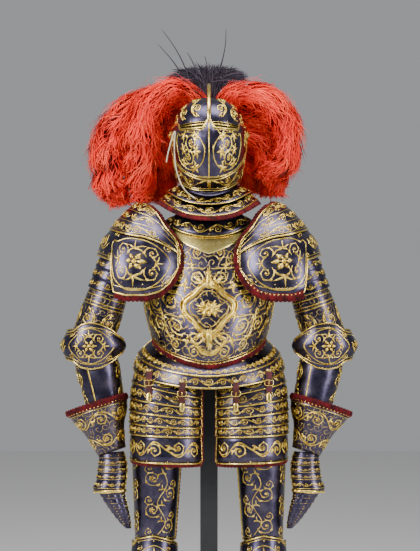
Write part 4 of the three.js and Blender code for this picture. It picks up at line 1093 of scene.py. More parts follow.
rise = chance.uniform(0, 1, SHEAF_BARBS)
way = chance.uniform(0, 2 * math.pi, SHEAF_BARBS)
foot = np.stack([chance.normal(0, 4, SHEAF_BARBS), 172 + 24 * rise, 1765 + 105 * rise], axis=1)
spread = 16 + 34 * rise  # the sheaf follows the stem up and opens towards the fan
tip = foot + np.stack([spread * np.cos(way), 0.5 * spread * np.sin(way),
                       chance.uniform(52, 88, SHEAF_BARBS)], axis=1)
places = np.concatenate([fan, bent(foot, tip, [0, 0, -12])])
sides = unit(np.cross(np.gradient(places, axis=1), [0, 1, 0.2]))
tones = np.clip(chance.normal(0.4, 0.25, len(places))[:, None]
                + 0.2 * np.linspace(0, 1, BARB_STEPS), 0, 1)
ribbons("aigrette_barbs", places, sides, tones, 1.1, BLACK_PLUME,
        ["aigrette"])
heap = Heap()
for x0, z0, x1, z1 in QUILLS:
    path = bent(np.array([[x0, TUFT["y"], z0]]), np.array([[x1, TUFT["y"], z1]]),
                [0.06 * (z1 - z0), 0, 0], 14)[0]
    bead(heap, path, FORWARD, np.linspace(2.2, 0.7, 14))
bead(heap, np.linspace(*STEM, 8), FORWARD, np.linspace(7, 13, 8), sides=8)
finish_piece("aigrette_quills", toned(heap.mesh("aigrette_quills"), 0.5), "suit",
             BLACK_PLUME)
print("tuft:", len(places), "barbs and", len(QUILLS), "quills")

# %% [markdown]
# ## Gilt relief
# The gilder's foliage is the same few strokes everywhere: a curl that winds in on itself, a leaf
# that is fat in the middle, a flower of leaves, a boss. A stroke is drawn flat, in millimetres
# across and down a plate, with a width and a height along it. It is then laid on the plate's
# surface with a ridge down its middle, so that it catches the light as chased metal does.

# %% Strokes
def stroke(points, width, height=1.2):
    points = np.asarray(points, float)
    return (points, np.broadcast_to(np.asarray(width, float) / 2, len(points)),
            np.broadcast_to(np.asarray(height, float), len(points)))


def ellipse(x, y, angle, rx, ry=None):
    """Places about x, y at angles in turns, which grow from right to down."""
    a = 2 * math.pi * angle
    return np.stack([x + rx * np.cos(a), y + (rx if ry is None else ry) * np.sin(a)], axis=-1)


def curl(x, y, radius, start, turns, width):
    """A spiral that winds in from its radius."""
    t = np.linspace(0, 1, int(11 * abs(turns)) + 4)
    points = ellipse(x, y, start + turns * t, radius * (1 - 0.8 * t**0.85))
    return stroke(points, width * (1.05 - 0.5 * t), 1.3)


def leaf(x, y, angle, length, width, bend=0.25, height=1.3):
    """A pointed leaf; angle is in turns and bend curves it to one side."""
    t = np.array([0, 0.3, 0.65, 1])
    return stroke(ellipse(x, y, angle + bend * 0.25 * t, length * t),
                  width * np.array([0.35, 1, 0.75, 0.05]), height)


def boss(x, y, radius, height=2.0):
    t = np.array([-1, -0.75, 0, 0.75, 1])
    round_off = np.sqrt(1 - t**2 * 0.98)
    return stroke(np.stack([x + radius * t, y + 0 * t], axis=1), 2 * radius * round_off,
                  height * round_off)


def flower(x, y, radius, petals=6):
    made = [leaf(*ellipse(x, y, k / petals, 0.3 * radius), k / petals, 0.7 * radius,
                 2.75 * radius / petals, 0, 1.8) for k in range(petals)]
    return made + [boss(x, y, 0.28 * radius, 2.6)]


def spray(x, y, angle, size, width, count=5, spread=0.3):
    """A palmette: leaves fanned about one direction."""
    made = []
    for k in range(count):
        share = k / (count - 1) - 0.5
        made.append(leaf(x, y, angle + spread * share, size * (1 - 0.9 * share**2), width,
                         share * 1.2))
    return made


print("curls, leaves, bosses and flowers ready")

# %% Scrolls
def leafy_curl(x, y, radius, start, turns, width, leaves=6, bud="boss"):
    """A curl with leaves along its outer side and a bud at its heart."""
    made = [curl(x, y, radius, start, turns, width)]
    way = math.copysign(1, turns)
    for k in range(leaves):
        t = 0.04 + 0.62 * k / max(leaves - 1, 1)
        a = start + turns * t
        px, py = ellipse(x, y, a, radius * (1 - 0.8 * t**0.85))
        size = radius * (0.46 - 0.22 * t)
        made.append(leaf(px, py, a + way * 0.13, size, size * 0.5, way * 0.7))
        if k % 2:
            made.append(leaf(px, py, a + 0.5 - way * 0.18, size * 0.75, size * 0.42, -way * 0.6))
    made += flower(x, y, radius * 0.34, 5) if bud == "flower" else [boss(x, y, radius * 0.17)]
    return made


def rinceau(x0, x1, y, height, width=2.2, flowers=True, start=1, cell=1.0, leaves=5):
    """The running scroll: a stem that waves along a band, with a leafy curl in each hollow."""
    count = max(1, round((x1 - x0) / (height * cell)))
    step = (x1 - x0) / count
    x = np.linspace(x0, x1, count * 8 + 1)
    wave = y + start * 0.34 * height * np.sin(math.pi * (x - x0) / step)
    made = [stroke(np.stack([x, wave], axis=1), width * 1.15)]
    for k in range(count):
        way = start * (1 if k % 2 == 0 else -1)
        cx, cy = x0 + (k + 0.5) * step, y - way * 0.08 * height
        bud = "flower" if flowers and k % 2 == 0 else "boss"
        made += leafy_curl(cx, cy, 0.37 * height, way * 0.42, -way * 1.5, width, leaves, bud)
        made.append(leaf(x0 + k * step, y, -way * 0.2, 0.36 * height, 0.16 * height, way))
        made.append(leaf(x0 + k * step, y - way * 0.2 * height, -way * 0.05, 0.2 * height,
                         0.1 * height, way))
    return made


def turned(strokes):
    """The same strokes with across and down exchanged."""
    return [(points[:, ::-1], width, height) for points, width, height in strokes]


def reflected(strokes, about):
    """The strokes and their mirror image across a line down the plate."""
    other = [(np.stack([2 * about - p[:, 0], p[:, 1]], axis=1), w, h) for p, w, h in strokes]
    return strokes + other


def line(x0, y0, x1, y1, width=2.4, height=1.0):
    count = max(2, int(math.hypot(x1 - x0, y1 - y0) / 12) + 1)
    return [stroke(np.linspace((x0, y0), (x1, y1), count), width, height)]


print("scrolls ready")

# %% Laying strokes on a plate
WEIGHT, SINK = 1.45, 0.5  # strokes are cut this much broader, and their feet this deep


def lay(heap, surface, strokes, size):
    """Lays strokes on a plate, each as a ridged bar whose foot is sunk into the steel."""
    flat, up, lengths = [], [], []
    for points, half, height in strokes:
        run = unit(np.gradient(points, axis=0))
        side = np.stack([-run[:, 1], run[:, 0]], axis=1)
        half = half * WEIGHT
        half[[0, -1]] = np.maximum(half[[0, -1]] * 0.3, 0.05)
        flat.append(np.stack([points - side * half[:, None], points,
                              points + side * half[:, None]], axis=1).reshape(-1, 2))
        level = np.full((len(points), 3), -SINK)
        level[:, 1] = height
        up.append(level.ravel())
        lengths.append(len(points))
    flat, up = np.vstack(flat), np.concatenate(up)
    u = np.clip(flat[:, 0] / size[0], 0.002, 0.998)
    v = np.clip(flat[:, 1] / size[1], 0.004, 0.996)
    points = surface(u, v) + normal(surface, u, v) * up[:, None]
    start = 0
    for length in lengths:
        heap.add(points[start:start + 3 * length], tube_faces(length, 3))
        start += 3 * length


print("strokes can be laid")

# %% [markdown]
# ## Rolled edges
# Each plate's edge is rolled over a wire for strength, then gilded. A bead follows the edge just
# above the steel, with a row of rivets, and on the larger plates a thin gilt line, beside it.

# %% Rolled edges
BORDERS = {  # a plate's sides: where each starts and ends in u and v, and which way is in
    "top": ((0, 0), (1, 0), (0, 1)), "bottom": ((0, 1), (1, 1), (0, -1)),
    "start": ((0, 0), (0, 1), (1, 0)), "end": ((1, 0), (1, 1), (-1, 0)),
}
ROLL_RADIUS, LINE_RADIUS, RIVET_RADIUS = 2.7, 1.4, 2.2
RIVET_PITCH = 46


def dome(heap, place, out, radius):
    """A rivet's domed head, standing on a plate."""
    heights = np.array([-0.6, 0.15, 0.55, 0.78]) * radius
    bead(heap, place + np.outer(heights, out), unit(np.cross(out, [0.3, 0.2, 0.93])),
         radius * np.array([1, 1, 0.72, 1]), sides=5)


def edges(name, surface, runs, body, line_in):
    """runs are the plate's borders to roll; the gilt line is line_in from them, 0 for none."""
    wide, tall = size_of(surface)
    heap = Heap()
    for run in runs:
        (u0, v0), (u1, v1), (u_in, v_in) = BORDERS[run]
        count = int((wide if run in ("top", "bottom") else tall) / 7) + 6
        places, outward = edge_path(surface, (u0, v0), (u1, v1), count)
        bead(heap, places + outward * 0.4, outward, ROLL_RADIUS, flat=0.7)
        if line_in:
            du, dv = u_in * line_in / wide, v_in * line_in / tall
            places, outward = edge_path(surface, (u0 + du, v0 + dv), (u1 + du, v1 + dv), count)
            bead(heap, places + outward * 0.2, outward, LINE_RADIUS, sides=4, flat=0.8)
        if run in ("top", "bottom"):
            count = max(2, int(wide / RIVET_PITCH))
            dv = v_in * (line_in + 5) / tall
            places, outward = edge_path(surface, (u0 + 0.02, v0 + dv), (u1 - 0.02, v1 + dv),
                                        count)
            for place, out in zip(places, outward):
                dome(heap, place, out, RIVET_RADIUS)
    return finish_piece(name, heap.mesh(name), body, EDGE_GILT)


ROLLED = {  # which sides of each plate show a rolled edge
    "visor": ("top", "bottom"), "bevor": ("bottom",), "helmet_skull": ("top", "bottom"),
    "collar_upper": ("bottom",), "collar_lower": ("bottom",), "gorget": ("bottom",),
    "breastplate": ("bottom", "start", "end"), "backplate": ("top", "bottom", "start", "end"),
    "fauld_upper": ("bottom",), "fauld_lower": ("bottom",), "culet": ("bottom", "start", "end"),
    "tasset_lame": ("bottom", "start"), "pauldron_upper": ("top", "bottom", "start", "end"),
    "pauldron_main": ("bottom", "start", "end"), "upper_cannon": ("top", "bottom"),
    "couter": ("top", "bottom"), "lower_cannon": ("top", "bottom"), "gauntlet_cuff": ("top",),
    "gauntlet_hand": ("start", "end"), "cuisse": ("top", "bottom", "start", "end"),
    "poleyn": ("top", "bottom"), "greave": ("top", "bottom"), "sabaton": ("start", "end"),
}
LAMES = {"tasset_lame", "collar_upper", "collar_lower", "gorget", "fauld_upper", "fauld_lower",
         "culet", "gauntlet_hand"}
for name, surface in SURFACES.items():
    sides = ROLLED.get(kind_of(name))
    if not sides:
        continue
    if name.endswith("_right"):
        swap = {"start": "end", "end": "start"}
        sides = tuple(swap.get(side, side) for side in sides)
    edges(f"{name}_edge", surface, sides, BODY_OF.get(name, "suit"),
          0 if kind_of(name) in LAMES else 8)
print("edges rolled")

# %% [markdown]
# ## Designs
# The same scrolls fill each plate in its own way: running bands on the lames, mirrored columns on
# the large plates, ringed flowers on the shoulders and elbows, and one big framed flower in the
# middle of the breastplate. A design is drawn in a window of its plate, at its real size there.

# %% Bands, columns, medallions and ovals
def band(wide, tall, top=4, foot=5, width=2.4, cell=1.15, sides=6, leaves=3):
    return rinceau(sides, wide - sides, (top + tall - foot) / 2, tall - top - foot, width,
                   cell=cell, leaves=leaves)


def columns(wide, tall, count=2, margin=8, width=2.6):
    """Upright scrolls side by side, mirrored about the middle."""
    span = (wide - 2 * margin) / count
    made = []
    for k in range(count):
        way = 1 if k < count / 2 else -1
        made += turned(rinceau(margin, tall - margin, margin + (k + 0.5) * span, span * 0.96,
                               width, True, way))
    return made


def medallion(wide, tall, width=2.8):
    """A ringed flower with curls in its four quarters, filling its window."""
    x, y = wide / 2, tall / 2
    rx, ry = wide * 0.46, tall * 0.46
    made = [stroke(ellipse(x, y, np.linspace(0, 1, 44), rx, ry), width, 1.8)]
    made += flower(x, y, min(rx, ry) * 0.36)
    for k in range(4):
        a = (k + 0.5) / 4
        way = 1 if k % 2 else -1
        made += leafy_curl(*ellipse(x, y, a, 0.58 * rx, 0.62 * ry), min(rx, ry) * 0.33, a + 0.5,
                           way * 1.4, width * 0.8)
    for cx, cy, way in ((0.07, 0.08, 1), (0.93, 0.08, -1), (0.07, 0.92, -1), (0.93, 0.92, 1)):
        made += leafy_curl(cx * wide, cy * tall, 0.12 * min(wide, tall), 0.25 * way + 0.1,
                           way * 1.4, width * 0.7, 4)
    for a in (0, 0.25, 0.5, 0.75):
        made += spray(*ellipse(x, y, a, 0.5 * rx, 0.52 * ry), a, min(rx, ry) * 0.4,
                      width * 1.3, 5, 0.4)
    return made


def oval(wide, tall, width=3.2, way=1):
    """An upright oval filled by one double scroll with a flower in each turn."""
    made = [stroke(ellipse(wide / 2, tall / 2, np.linspace(0, 1, 48), 0.45 * wide, 0.46 * tall),
                   width, 1.8)]
    x = wide / 2 + way * 0.06 * wide  # towards the visor's middle, which faces the front
    r = 0.26 * tall
    made += leafy_curl(x + way * 6, 0.3 * tall, r, 0.25 - way * 0.2, way * 1.7, width * 1.3, 8,
                       "flower")
    made += leafy_curl(x - way * 4, 0.68 * tall, r * 0.85, 0.75 - way * 0.2, way * 1.7,
                       width * 1.3, 8, "flower")
    for share, y, a in ((-0.2, 0.5, 0.5), (0.16, 0.5, 0.0), (-0.19, 0.18, 0.62),
                        (0.15, 0.16, 0.88), (-0.17, 0.82, 0.38), (0.13, 0.84, 0.12)):
        made += spray(x + way * share * wide, y * tall, a if way > 0 else 0.5 - a,
                      0.16 * wide, 9, 5, 0.42)
    return made


print("bands, columns, medallions and ovals ready")

# %% The breastplate's design
def breast(wide, tall):
    """The breastplate's design, drawn as its right half and reflected about the middle."""
    mid, heart = wide / 2, 0.575 * tall
    t = np.linspace(-0.25, 0.25, 34)
    half = []
    for size, width in ((1.0, 13), (0.74, 3), (1.16, 2.4)):  # a frame of four lobes
        lobe = 52 * size * (1 + 0.12 * np.cos(8 * math.pi * t))
        half.append(stroke(ellipse(mid, heart, t, lobe, 1.2 * lobe), width, 2.4))
    half += [leaf(mid + 3, heart, a, 27, 9, 0, 3) for a in (-0.19, -0.065, 0.065, 0.19)]
    for way in (-1, 1):  # palmettes above and below the frame, then a curl beside each
        y = heart + way * 68
        half += spray(mid + 3, y - way * 6, way * 0.19, 50, 12, 4, 0.24)
        half.append(leaf(mid + 1.5, y - way * 10, way * 0.25, 62, 12, 0, 2.4))
        half += leafy_curl(mid + 33, y + way * 18, 22, -way * 0.4, -way * 1.5, 5, 6)
    for k in range(6):  # two broad leaves lean together at the foot
        half.append(leaf(mid + 22 + 4 * k, heart + 122 - 7 * k, 0.32 - 0.02 * k, 34, 9, 0.6, 2.4))
    half += [stroke(catmull(((mid, 16), (mid + 60, 14), (wide, 10)), 8), 10, 1.4)]
    for x, y, radius, start, way, bud in (
            (38, 52, 22, 0.4, -1, "flower"), (80, 70, 24, 0.9, 1, "boss"),
            (90, 132, 31, 0.45, -1, "flower"), (98, 205, 34, 0.58, 1, "flower"),
            (86, 278, 30, 0.42, -1, "flower"), (152, 160, 25, 0.55, 1, "boss"),
            (158, 226, 28, 0.45, -1, "flower"), (146, 290, 26, 0.55, 1, "boss"),
            (206, 196, 22, 0.5, -1, "boss"), (212, 254, 22, 0.5, 1, "boss"),
            (200, 306, 20, 0.45, -1, "boss"), (38, 344, 20, 0.6, 1, "boss"),
            (98, 336, 20, 0.4, -1, "boss"), (246, 226, 15, 0.5, 1, "boss"),
            (250, 282, 16, 0.5, -1, "boss"), (118, 52, 20, 0.45, -1, "boss"),
            (146, 96, 20, 0.6, 1, "flower"), (178, 128, 18, 0.5, -1, "boss"),
            (170, 60, 18, 0.5, 1, "boss")):
        half += leafy_curl(mid + x, y, radius, start, way * 1.6, 5 if radius > 25 else 4,
                           7 if radius > 25 else 5, bud)
    half.append(stroke(catmull(((mid + 10, 100), (mid + 60, 102), (mid + 122, 118),
                                (mid + 124, 178), (mid + 66, 186), (mid + 60, 244),
                                (mid + 122, 256), (mid + 116, 314), (mid + 60, 318)), 8), 4))
    for x, y, a in ((60, 24, 0.2), (118, 92, 0.95), (58, 96, 0.65), (64, 160, 0.6),
                    (128, 196, 0.05), (66, 240, 0.4), (128, 254, 0.1), (182, 190, 0.9),
                    (186, 262, 0.1), (116, 312, 0.2), (62, 312, 0.35), (174, 320, 0.2)):
        half += spray(mid + x, y, a, 24, 7, 4, 0.34)
    return reflected(half, mid) + flower(mid, heart, 22, 8) + [boss(mid, heart - 96, 7, 3)]


print("breastplate ready")

# %% Lines, hands and legs
def keel(wide, tall):
    """The visor's middle line and the border along its foot."""
    return (line(wide / 2, 3, wide / 2, tall - 3, 2.4, 1.6)
            + line(3, tall - 11, wide - 3, tall - 11, 2, 1))


def chin(wide, tall):
    return (spray(wide / 2, tall * 0.2, 0.25, tall * 0.75, 9, 5, 0.42)
            + flower(wide / 2, tall * 0.3, 7, 6))


def bars(wide, tall, at, width=3.4):
    """Plain gilt lines across a plate, at shares of its height."""
    made = []
    for share in at:
        made += line(2, share * tall, wide - 2, share * tall, width, 1.2)
    return made


def uprights(wide, tall, **options):
    return turned(bars(tall, wide, **options))


def hand(wide, tall):
    """A gilt line at the foot of each lame and finger scale, with scrolls between the lames."""
    made = []
    for k in range(1, BACK_LAMES + 1):
        y = tall * KNUCKLES[0] * k / BACK_LAMES / KNUCKLES[2] - 2
        made += line(3, y, wide - 3, y, 1.6)
        made += [boss(x, y - 9, 1.6, 1.6) for x in np.linspace(14, wide - 14, 8)]
        if k > 1:
            made += rinceau(8, wide - 8, y - 9, 12, 1.2, False, cell=1.7, leaves=2)
    top, step = KNUCKLES[1], (KNUCKLES[2] - KNUCKLES[1]) / FINGER_SCALES
    for k in range(1, FINGER_SCALES):
        y = tall * (top + step * k) / KNUCKLES[2] - 1.5
        for f in range(4):
            made += line(wide * (f + 0.14) / 4, y, wide * (f + 0.86) / 4, y, 1.5)
            made.append(boss(wide * (f + 0.5) / 4, y - 7, 2, 1.4))
    return made


def tendrils(wide, tall, width=1.6):
    """Thin stems that wander up a plate, with small curls, flowers and leaves."""
    x = wide / 2
    made = [stroke(catmull(((x - 12, tall - 8), (x + 14, tall * 0.8), (x - 12, tall * 0.58),
                            (x + 14, tall * 0.36), (x - 6, tall * 0.16)), 9), width * 1.3)]
    for k in range(5):
        way = 1 if k % 2 else -1
        y = tall * (0.9 - 0.185 * k)
        made += leafy_curl(x - way * wide * 0.22, y - 14, wide * 0.22, 0.25 - way * 0.2,
                           way * 1.6, width * 1.2, 5, "flower" if k % 2 else "boss")
        made += leafy_curl(x + way * wide * 0.3, y + 4, wide * 0.14, 0.25 + way * 0.2,
                           -way * 1.4, width, 4)
        made += spray(x, y - 26, -0.25, 15, 4, 3, 0.3)
    return made


print("all designs ready")

# %% Where each design goes
def both(window_of, draw, options):
    """The same design in a window and in its mirror image across the plate."""
    u0, u1, v0, v1 = window_of
    return [(window_of, draw, options), ((1 - u1, 1 - u0, v0, v1), draw, options)]


WHOLE = (0, 1, 0, 1)
DESIGNS = {  # each plate's designs, with the window that each is drawn in
    "helmet_skull": [*both((0.02, 0.49, 0.03, 0.36), columns, {"count": 3, "width": 4.2}),
                     *both((0.05, 0.48, 0.38, 0.94), columns, {"count": 2, "width": 4.2})],
    "visor": [((0.19, 0.495, 0.05, 0.9), oval, {}),
              ((0.505, 0.81, 0.05, 0.9), oval, {"way": -1}),
              *both((0.01, 0.18, 0.1, 0.9), columns, {"count": 1}), (WHOLE, keel, {})],
    "bevor": [*both((0.02, 0.44, 0.25, 0.98), band, {"cell": 1.2}),
              ((0.42, 0.58, 0.2, 0.98), chin, {})],
    "collar_upper": [((0, 1, 0.5, 1), band, {"width": 1.9})],
    "collar_lower": [(WHOLE, band, {"width": 1.9})],
    "gorget": [((0, 1, 0.55, 1), band, {"width": 2.0})],
    "breastplate": [(WHOLE, breast, {})],
    "backplate": both((0.03, 0.5, 0.05, 0.95), columns, {"count": 2, "width": 4.6}),
    "fauld_upper": [((0, 1, 0.42, 1), band, {"width": 2.1}),
                    ((0.02, 0.98, 0.08, 0.4), band, {"width": 2, "cell": 1.7, "leaves": 2})],
    "fauld_lower": [(WHOLE, band, {"top": 7, "width": 2.2})],
    "culet": [((0, 1, 0.2, 0.6), band, {"width": 3.0}), ((0, 1, 0.6, 1), band, {"width": 3.0})],
    "tasset_lame": [((0.02, 0.98, 0.18, 1), band, {"width": 1.8})],
    "tasset_foot": [((0.02, 0.98, 0.12, 0.98), band,
                     {"width": 3.4, "foot": 8, "cell": 1.0, "leaves": 6})],
    "pauldron_upper": [((u, u + 0.158, v, v + 0.29), band,
                        {"width": 2.4, "sides": 1, "top": 2, "foot": 2, "leaves": 2})
                       for u in (0.105, 0.263, 0.421, 0.579, 0.737)
                       for v in (0.06, 0.37, 0.67)] + [
        (WHOLE, bars, {"at": (0.36, 0.665), "width": 2})],
    "pauldron_main": [((0.045, 0.315, 0.06, 0.97), medallion, {"width": 4.2}),
                      ((0.325, 0.67, 0.12, 0.92), band, {"width": 3.4}),
                      ((0.68, 0.96, 0.06, 0.97), medallion, {"width": 4.2})],
    "arm_lames": [((0.01, 0.99, k / 4 + 0.02, k / 4 + 0.23), band, {"width": 1.8, "top": 1,
                                                                  "foot": 4, "cell": 1.5})
                  for k in range(4)],
    "upper_cannon": [((0.02, 0.98, 0.38, 0.98), columns, {"count": 6, "width": 3}),
                     (WHOLE, bars, {"at": (0.06, 0.16, 0.3, 0.37)})],
    "couter": [((0.12, 0.46, 0.08, 0.92), medallion, {"width": 3.6}),
               ((0.47, 0.97, 0.14, 0.86), band, {"width": 3.2, "cell": 0.9})],
    "lower_cannon": [*both((0.14, 0.42, 0.03, 0.97), columns, {"count": 1, "width": 2.4}),
                     (WHOLE, uprights, {"at": (0.13, 0.43, 0.87), "width": 4.4})],
    "gauntlet_cuff": [((0, 1, 0.04, 0.5), band, {"width": 3}),
                      ((0, 1, 0.52, 0.96), band, {"width": 3})],
    "gauntlet_hand": [(WHOLE, hand, {})],
    "cuisse": [((0.09, 0.5, 0.22, 0.98), tendrils, {}),
               ((0.52, 0.94, 0.22, 0.98), tendrils, {}),
               ((0.02, 0.98, 0.02, 0.2), band, {"width": 3})],
    "poleyn": [((0.2, 0.6, 0.15, 0.85), medallion, {"width": 3})],
}


def designs_of(name):
    kind = "tasset_foot" if name.startswith("tasset_lame_6") else kind_of(name)
    return DESIGNS.get(kind, [])


print("designs for", len(DESIGNS), "kinds of plate")

# %% Gilding the plates
total = 0
for name, surface in SURFACES.items():
    if not designs_of(name):
        continue
    heap = Heap()
    for (u0, u1, v0, v1), draw, options in designs_of(name):
        if name.endswith("_right"):
            u0, u1 = 1 - u1, 1 - u0
        part = window(surface, u0, u1, v0, v1)
        wide, tall = size_of(part)
        lay(heap, part, draw(wide, tall, **options), (wide, tall))
    piece = finish_piece(f"{name}_gilt", heap.mesh(f"{name}_gilt"), BODY_OF.get(name, "suit"),
                         GILT)
    total += len(piece.data.polygons)
print("relief faces", total)

# %% Neckline and knuckles
def neckline(u, v):
    """The breastplate's plain gilt collar: deepest in the middle, with a pointed lower edge. Its
    pale gilding is partly a painted highlight.
    """
    u = np.asarray(u, float)
    depth = 0.155 - 0.11 * np.abs(2 * u - 1) ** 0.8
    return SURFACES["breastplate"](0.04 + 0.92 * u, np.asarray(v, float) * depth)


plate("breast_neckline", raised(neckline, 2.8), 60, 8, wall=1.2, material=SMOOTH_HIGHLIGHT_GILT)
for side in ("left", "right"):
    surface = SURFACES[f"gauntlet_hand_{side}"]
    heap = Heap()
    v = (KNUCKLES[0] + KNUCKLES[1]) / 2 / KNUCKLES[2]
    places, outward = edge_path(surface, (0.01, v), (0.99, v), 40)
    bead(heap, places, outward, 4.2 + 1.6 * np.abs(np.sin(np.linspace(0, 4 * math.pi, 40))),
         sides=10, flat=0.8)
    for share in (0.125, 0.375, 0.625, 0.875):
        out = normal(surface, share, v)
        dome(heap, surface(share, v) + out * 4, out, 4.5)
    finish_piece(f"gauntlet_knuckles_{side}", heap.mesh(f"knuckles_{side}"), "suit",
                 EDGE_GILT)
print("neckline and knuckles made")

# %% [markdown]
# ## Helmet: comb, plume tube and bosses
# A comb runs over the crown, gilt along its ridge and sides, and a tube at the back takes the
# plumes. A domed boss covers the pivot at each temple.

# %% Comb, tube and bosses
COMB = ((12, 3), (30, 12), (45, 17), (60, 23), (75, 32), (90, 41), (100, 44), (120, 41),
        (140, 32), (160, 21), (180, 10), (192, 3))
COMB_RING = ((-5.2, 0, -1.5), (-3.6, 0.5, 0), (-2.4, 0.96, 0), (0, 1, 0.9), (2.4, 0.96, 0),
             (3.6, 0.5, 0), (5.2, 0, -1.5))  # across, share of the height, and above that
rise = np.linspace(12, 192, 64)
height = along(COMB, rise)


def over_skull(side, reach):
    """Places over the crown's middle line, reach above the skull."""
    out = SKULL(0 * rise, rise)
    return out + unit(out - [0, *HELM]) * reach[..., None] + [side, 0, 0]


heap = Heap()
comb_rings = np.stack([over_skull(across, share * height + above)
                       for across, share, above in COMB_RING], axis=1)
heap.add(comb_rings.reshape(-1, 3), tube_faces(len(rise), len(COMB_RING)))
finish_piece("helmet_comb", heap.mesh("helmet_comb"), "suit", STEEL)

heap = Heap()
bead(heap, over_skull(0, height - 1.2), [1.0, 0, 0], 2.2, sides=8, flat=2.4)
for side in (-1, 1):
    for share in (0.28, 0.6):
        bead(heap, over_skull(side * (5 - 2.4 * share), height * share), [1.0, 0, 0], 1.5)
finish_piece("helmet_comb_gilt", heap.mesh("helmet_comb_gilt"), "suit",
             EDGE_GILT)


def turned_part(name, place, axis, profile, body="suit"):
    """A gilt part turned on a lathe: profile rows are (station along the axis, radius)."""
    heap = Heap()
    stations, radii = np.array(profile, float).T
    side = np.cross(axis, [0, 0, 1] if abs(axis[2]) < 0.9 else [1, 0, 0])
    bead(heap, np.array(place, float) + np.outer(stations, axis), side, radii, sides=24)
    return finish_piece(name, heap.mesh(name), body, EDGE_GILT)


turned_part("plume_tube", (0, 141, 1685), (0, 0, 1),
            ((-36, 3), (-35, 9), (-34, 10), (33, 10), (35, 12), (36, 9), (35, 8)))
DOME = ((-3, 2), (-1, 13), (1, 13.5), (2.6, 12), (3.4, 7), (5.6, 6), (8, 3.4), (8.6, 0.4))
for side, where in ((1, "left"), (-1, "right")):
    turned_part(f"visor_pivot_boss_{where}", (side * 110.5, *HELM), (side, 0, 0), DOME, "visor")
print("comb, tube and bosses made")

# %% [markdown]
# ## Velvet
# Every edge that could rub is lined with crimson velvet, which shows as a puckered, scalloped
# frill. Each frill follows its plate's edge, swells a little and ends in small scallops.

# %% Velvet
def frill(name, places, outward, normals, reach, pitch=11, puff=4, start=-4, lift=0,
          replaces=()):
    """A velvet edging along places, growing outward; normals face out of the plate."""
    places, outward, normals = (np.asarray(a, float) for a in (places, outward, normals))
    run = np.concatenate([[0], np.linalg.norm(np.diff(places, axis=0), axis=1).cumsum()])

    def at(rows, u):
        return np.stack([np.interp(u * run[-1], run, rows[:, k]) for k in range(3)], axis=-1)

    def surface(u, v):
        u, v = pair(u, v)
        wave = np.abs(np.sin(math.pi * u * run[-1] / pitch)) ** 0.6
        out = start + (reach - start) * v * (0.84 + 0.16 * wave)
        up = lift + puff * np.sin(math.pi * (0.1 + 0.9 * v)) * (0.55 + 0.45 * wave)
        return (at(places, u) + unit(at(outward, u)) * out[..., None]
                + unit(at(normals, u)) * up[..., None])

    across = int(run[-1] / pitch * 6)
    return plate(name, surface, across, 5, replaces=replaces, wall=2, material=VELVET)


def edge_frill(name, surface, edge, reach, span=(0, 1), **options):
    """A frill along one edge of a plate: top, bottom, start or end."""
    t = np.linspace(*span, 80)
    (u0, v0), (u1, v1), (u_in, v_in) = BORDERS[edge]
    u, v = u0 + (u1 - u0) * t, v0 + (v1 - v0) * t
    places = surface(u, v)
    outward = places - surface(u + 0.02 * u_in, v + 0.02 * v_in)
    return frill(name, places, outward, normal(surface, u, v), reach, **options)


edge_frill("collar_velvet_frill", SURFACES["collar_lower"], "bottom", 17, pitch=12, puff=4,
           lift=-4, replaces=["collar_velvet"])
edge_frill("waist_frill", SURFACES["breastplate"], "bottom", 25, span=(0.04, 0.96), pitch=12,
           puff=7, lift=-2)
edge_frill("fauld_top_frill", SURFACES["fauld_upper"], "top", 12, pitch=12, lift=2)
turns, levels = (np.interp(np.linspace(0, 1, 120), np.linspace(0, 1, len(VELVET_PATH)), column)
                 for column in zip(*VELVET_PATH))
path = PAULDRON(turns, levels)
up = normal(patch(PAULDRON, -60, 230, 0, 7), (turns + 60) / 290, levels / 7)
out = np.cross(np.gradient(path, axis=0), up)
towards_middle = PAULDRON(turns * 0.6 + 34, levels * 0.6 + 1.7)
out *= np.sign(np.sum(out * (path - towards_middle), axis=1))[:, None]
for side, flip, inner in (("left", [1, 1, 1], "start"), ("right", [-1, 1, 1], "end")):
    frill(f"pauldron_velvet_{side}_frill", path * flip, out * flip, up * flip, 19, pitch=12,
          puff=5, lift=-3, replaces=[f"pauldron_velvet_{side}"])
    edge_frill(f"tasset_foot_frill_{side}", SURFACES[f"tasset_lame_6_{side}"], "bottom", 11,
               pitch=11, lift=-3)
    for k in range(1, 7):
        edge_frill(f"tasset_inner_frill_{k}_{side}", SURFACES[f"tasset_lame_{k}_{side}"], inner,
                   14, pitch=11, lift=-3)
    edge_frill(f"cuff_frill_{side}", SURFACES[f"gauntlet_cuff_{side}"], "top", 15, pitch=11,
               puff=6, lift=-4)
    edge_frill(f"cuisse_inner_frill_{side}", SURFACES[f"cuisse_{side}"], inner, 12, pitch=11,
               lift=-3)
print("velvet done")

# %% [markdown]
# ## Straps and buckles
# Two leather straps hang from the skirt to carry each tasset, with a gilt buckle and a gilt tip.
# A strap lies on the skirt at its top and on the tasset below its hem.

# %% Straps and buckles
STRAPS = (("inner", 75, 1024, 1003, 929), ("outer", 168, 1052, 1020, 957))  # x, top, hem, foot
STRAP_WIDTH, STRAP_STEPS = 17, 16


def face_depth(form, turn_to, x, s):
    """The y of a form's front at x, found by searching along the turn."""
    turns = np.linspace(-54, turn_to, 400)
    front = form(turns, np.full(400, float(s)))
    return np.interp(x, front[:, 0], front[:, 1])


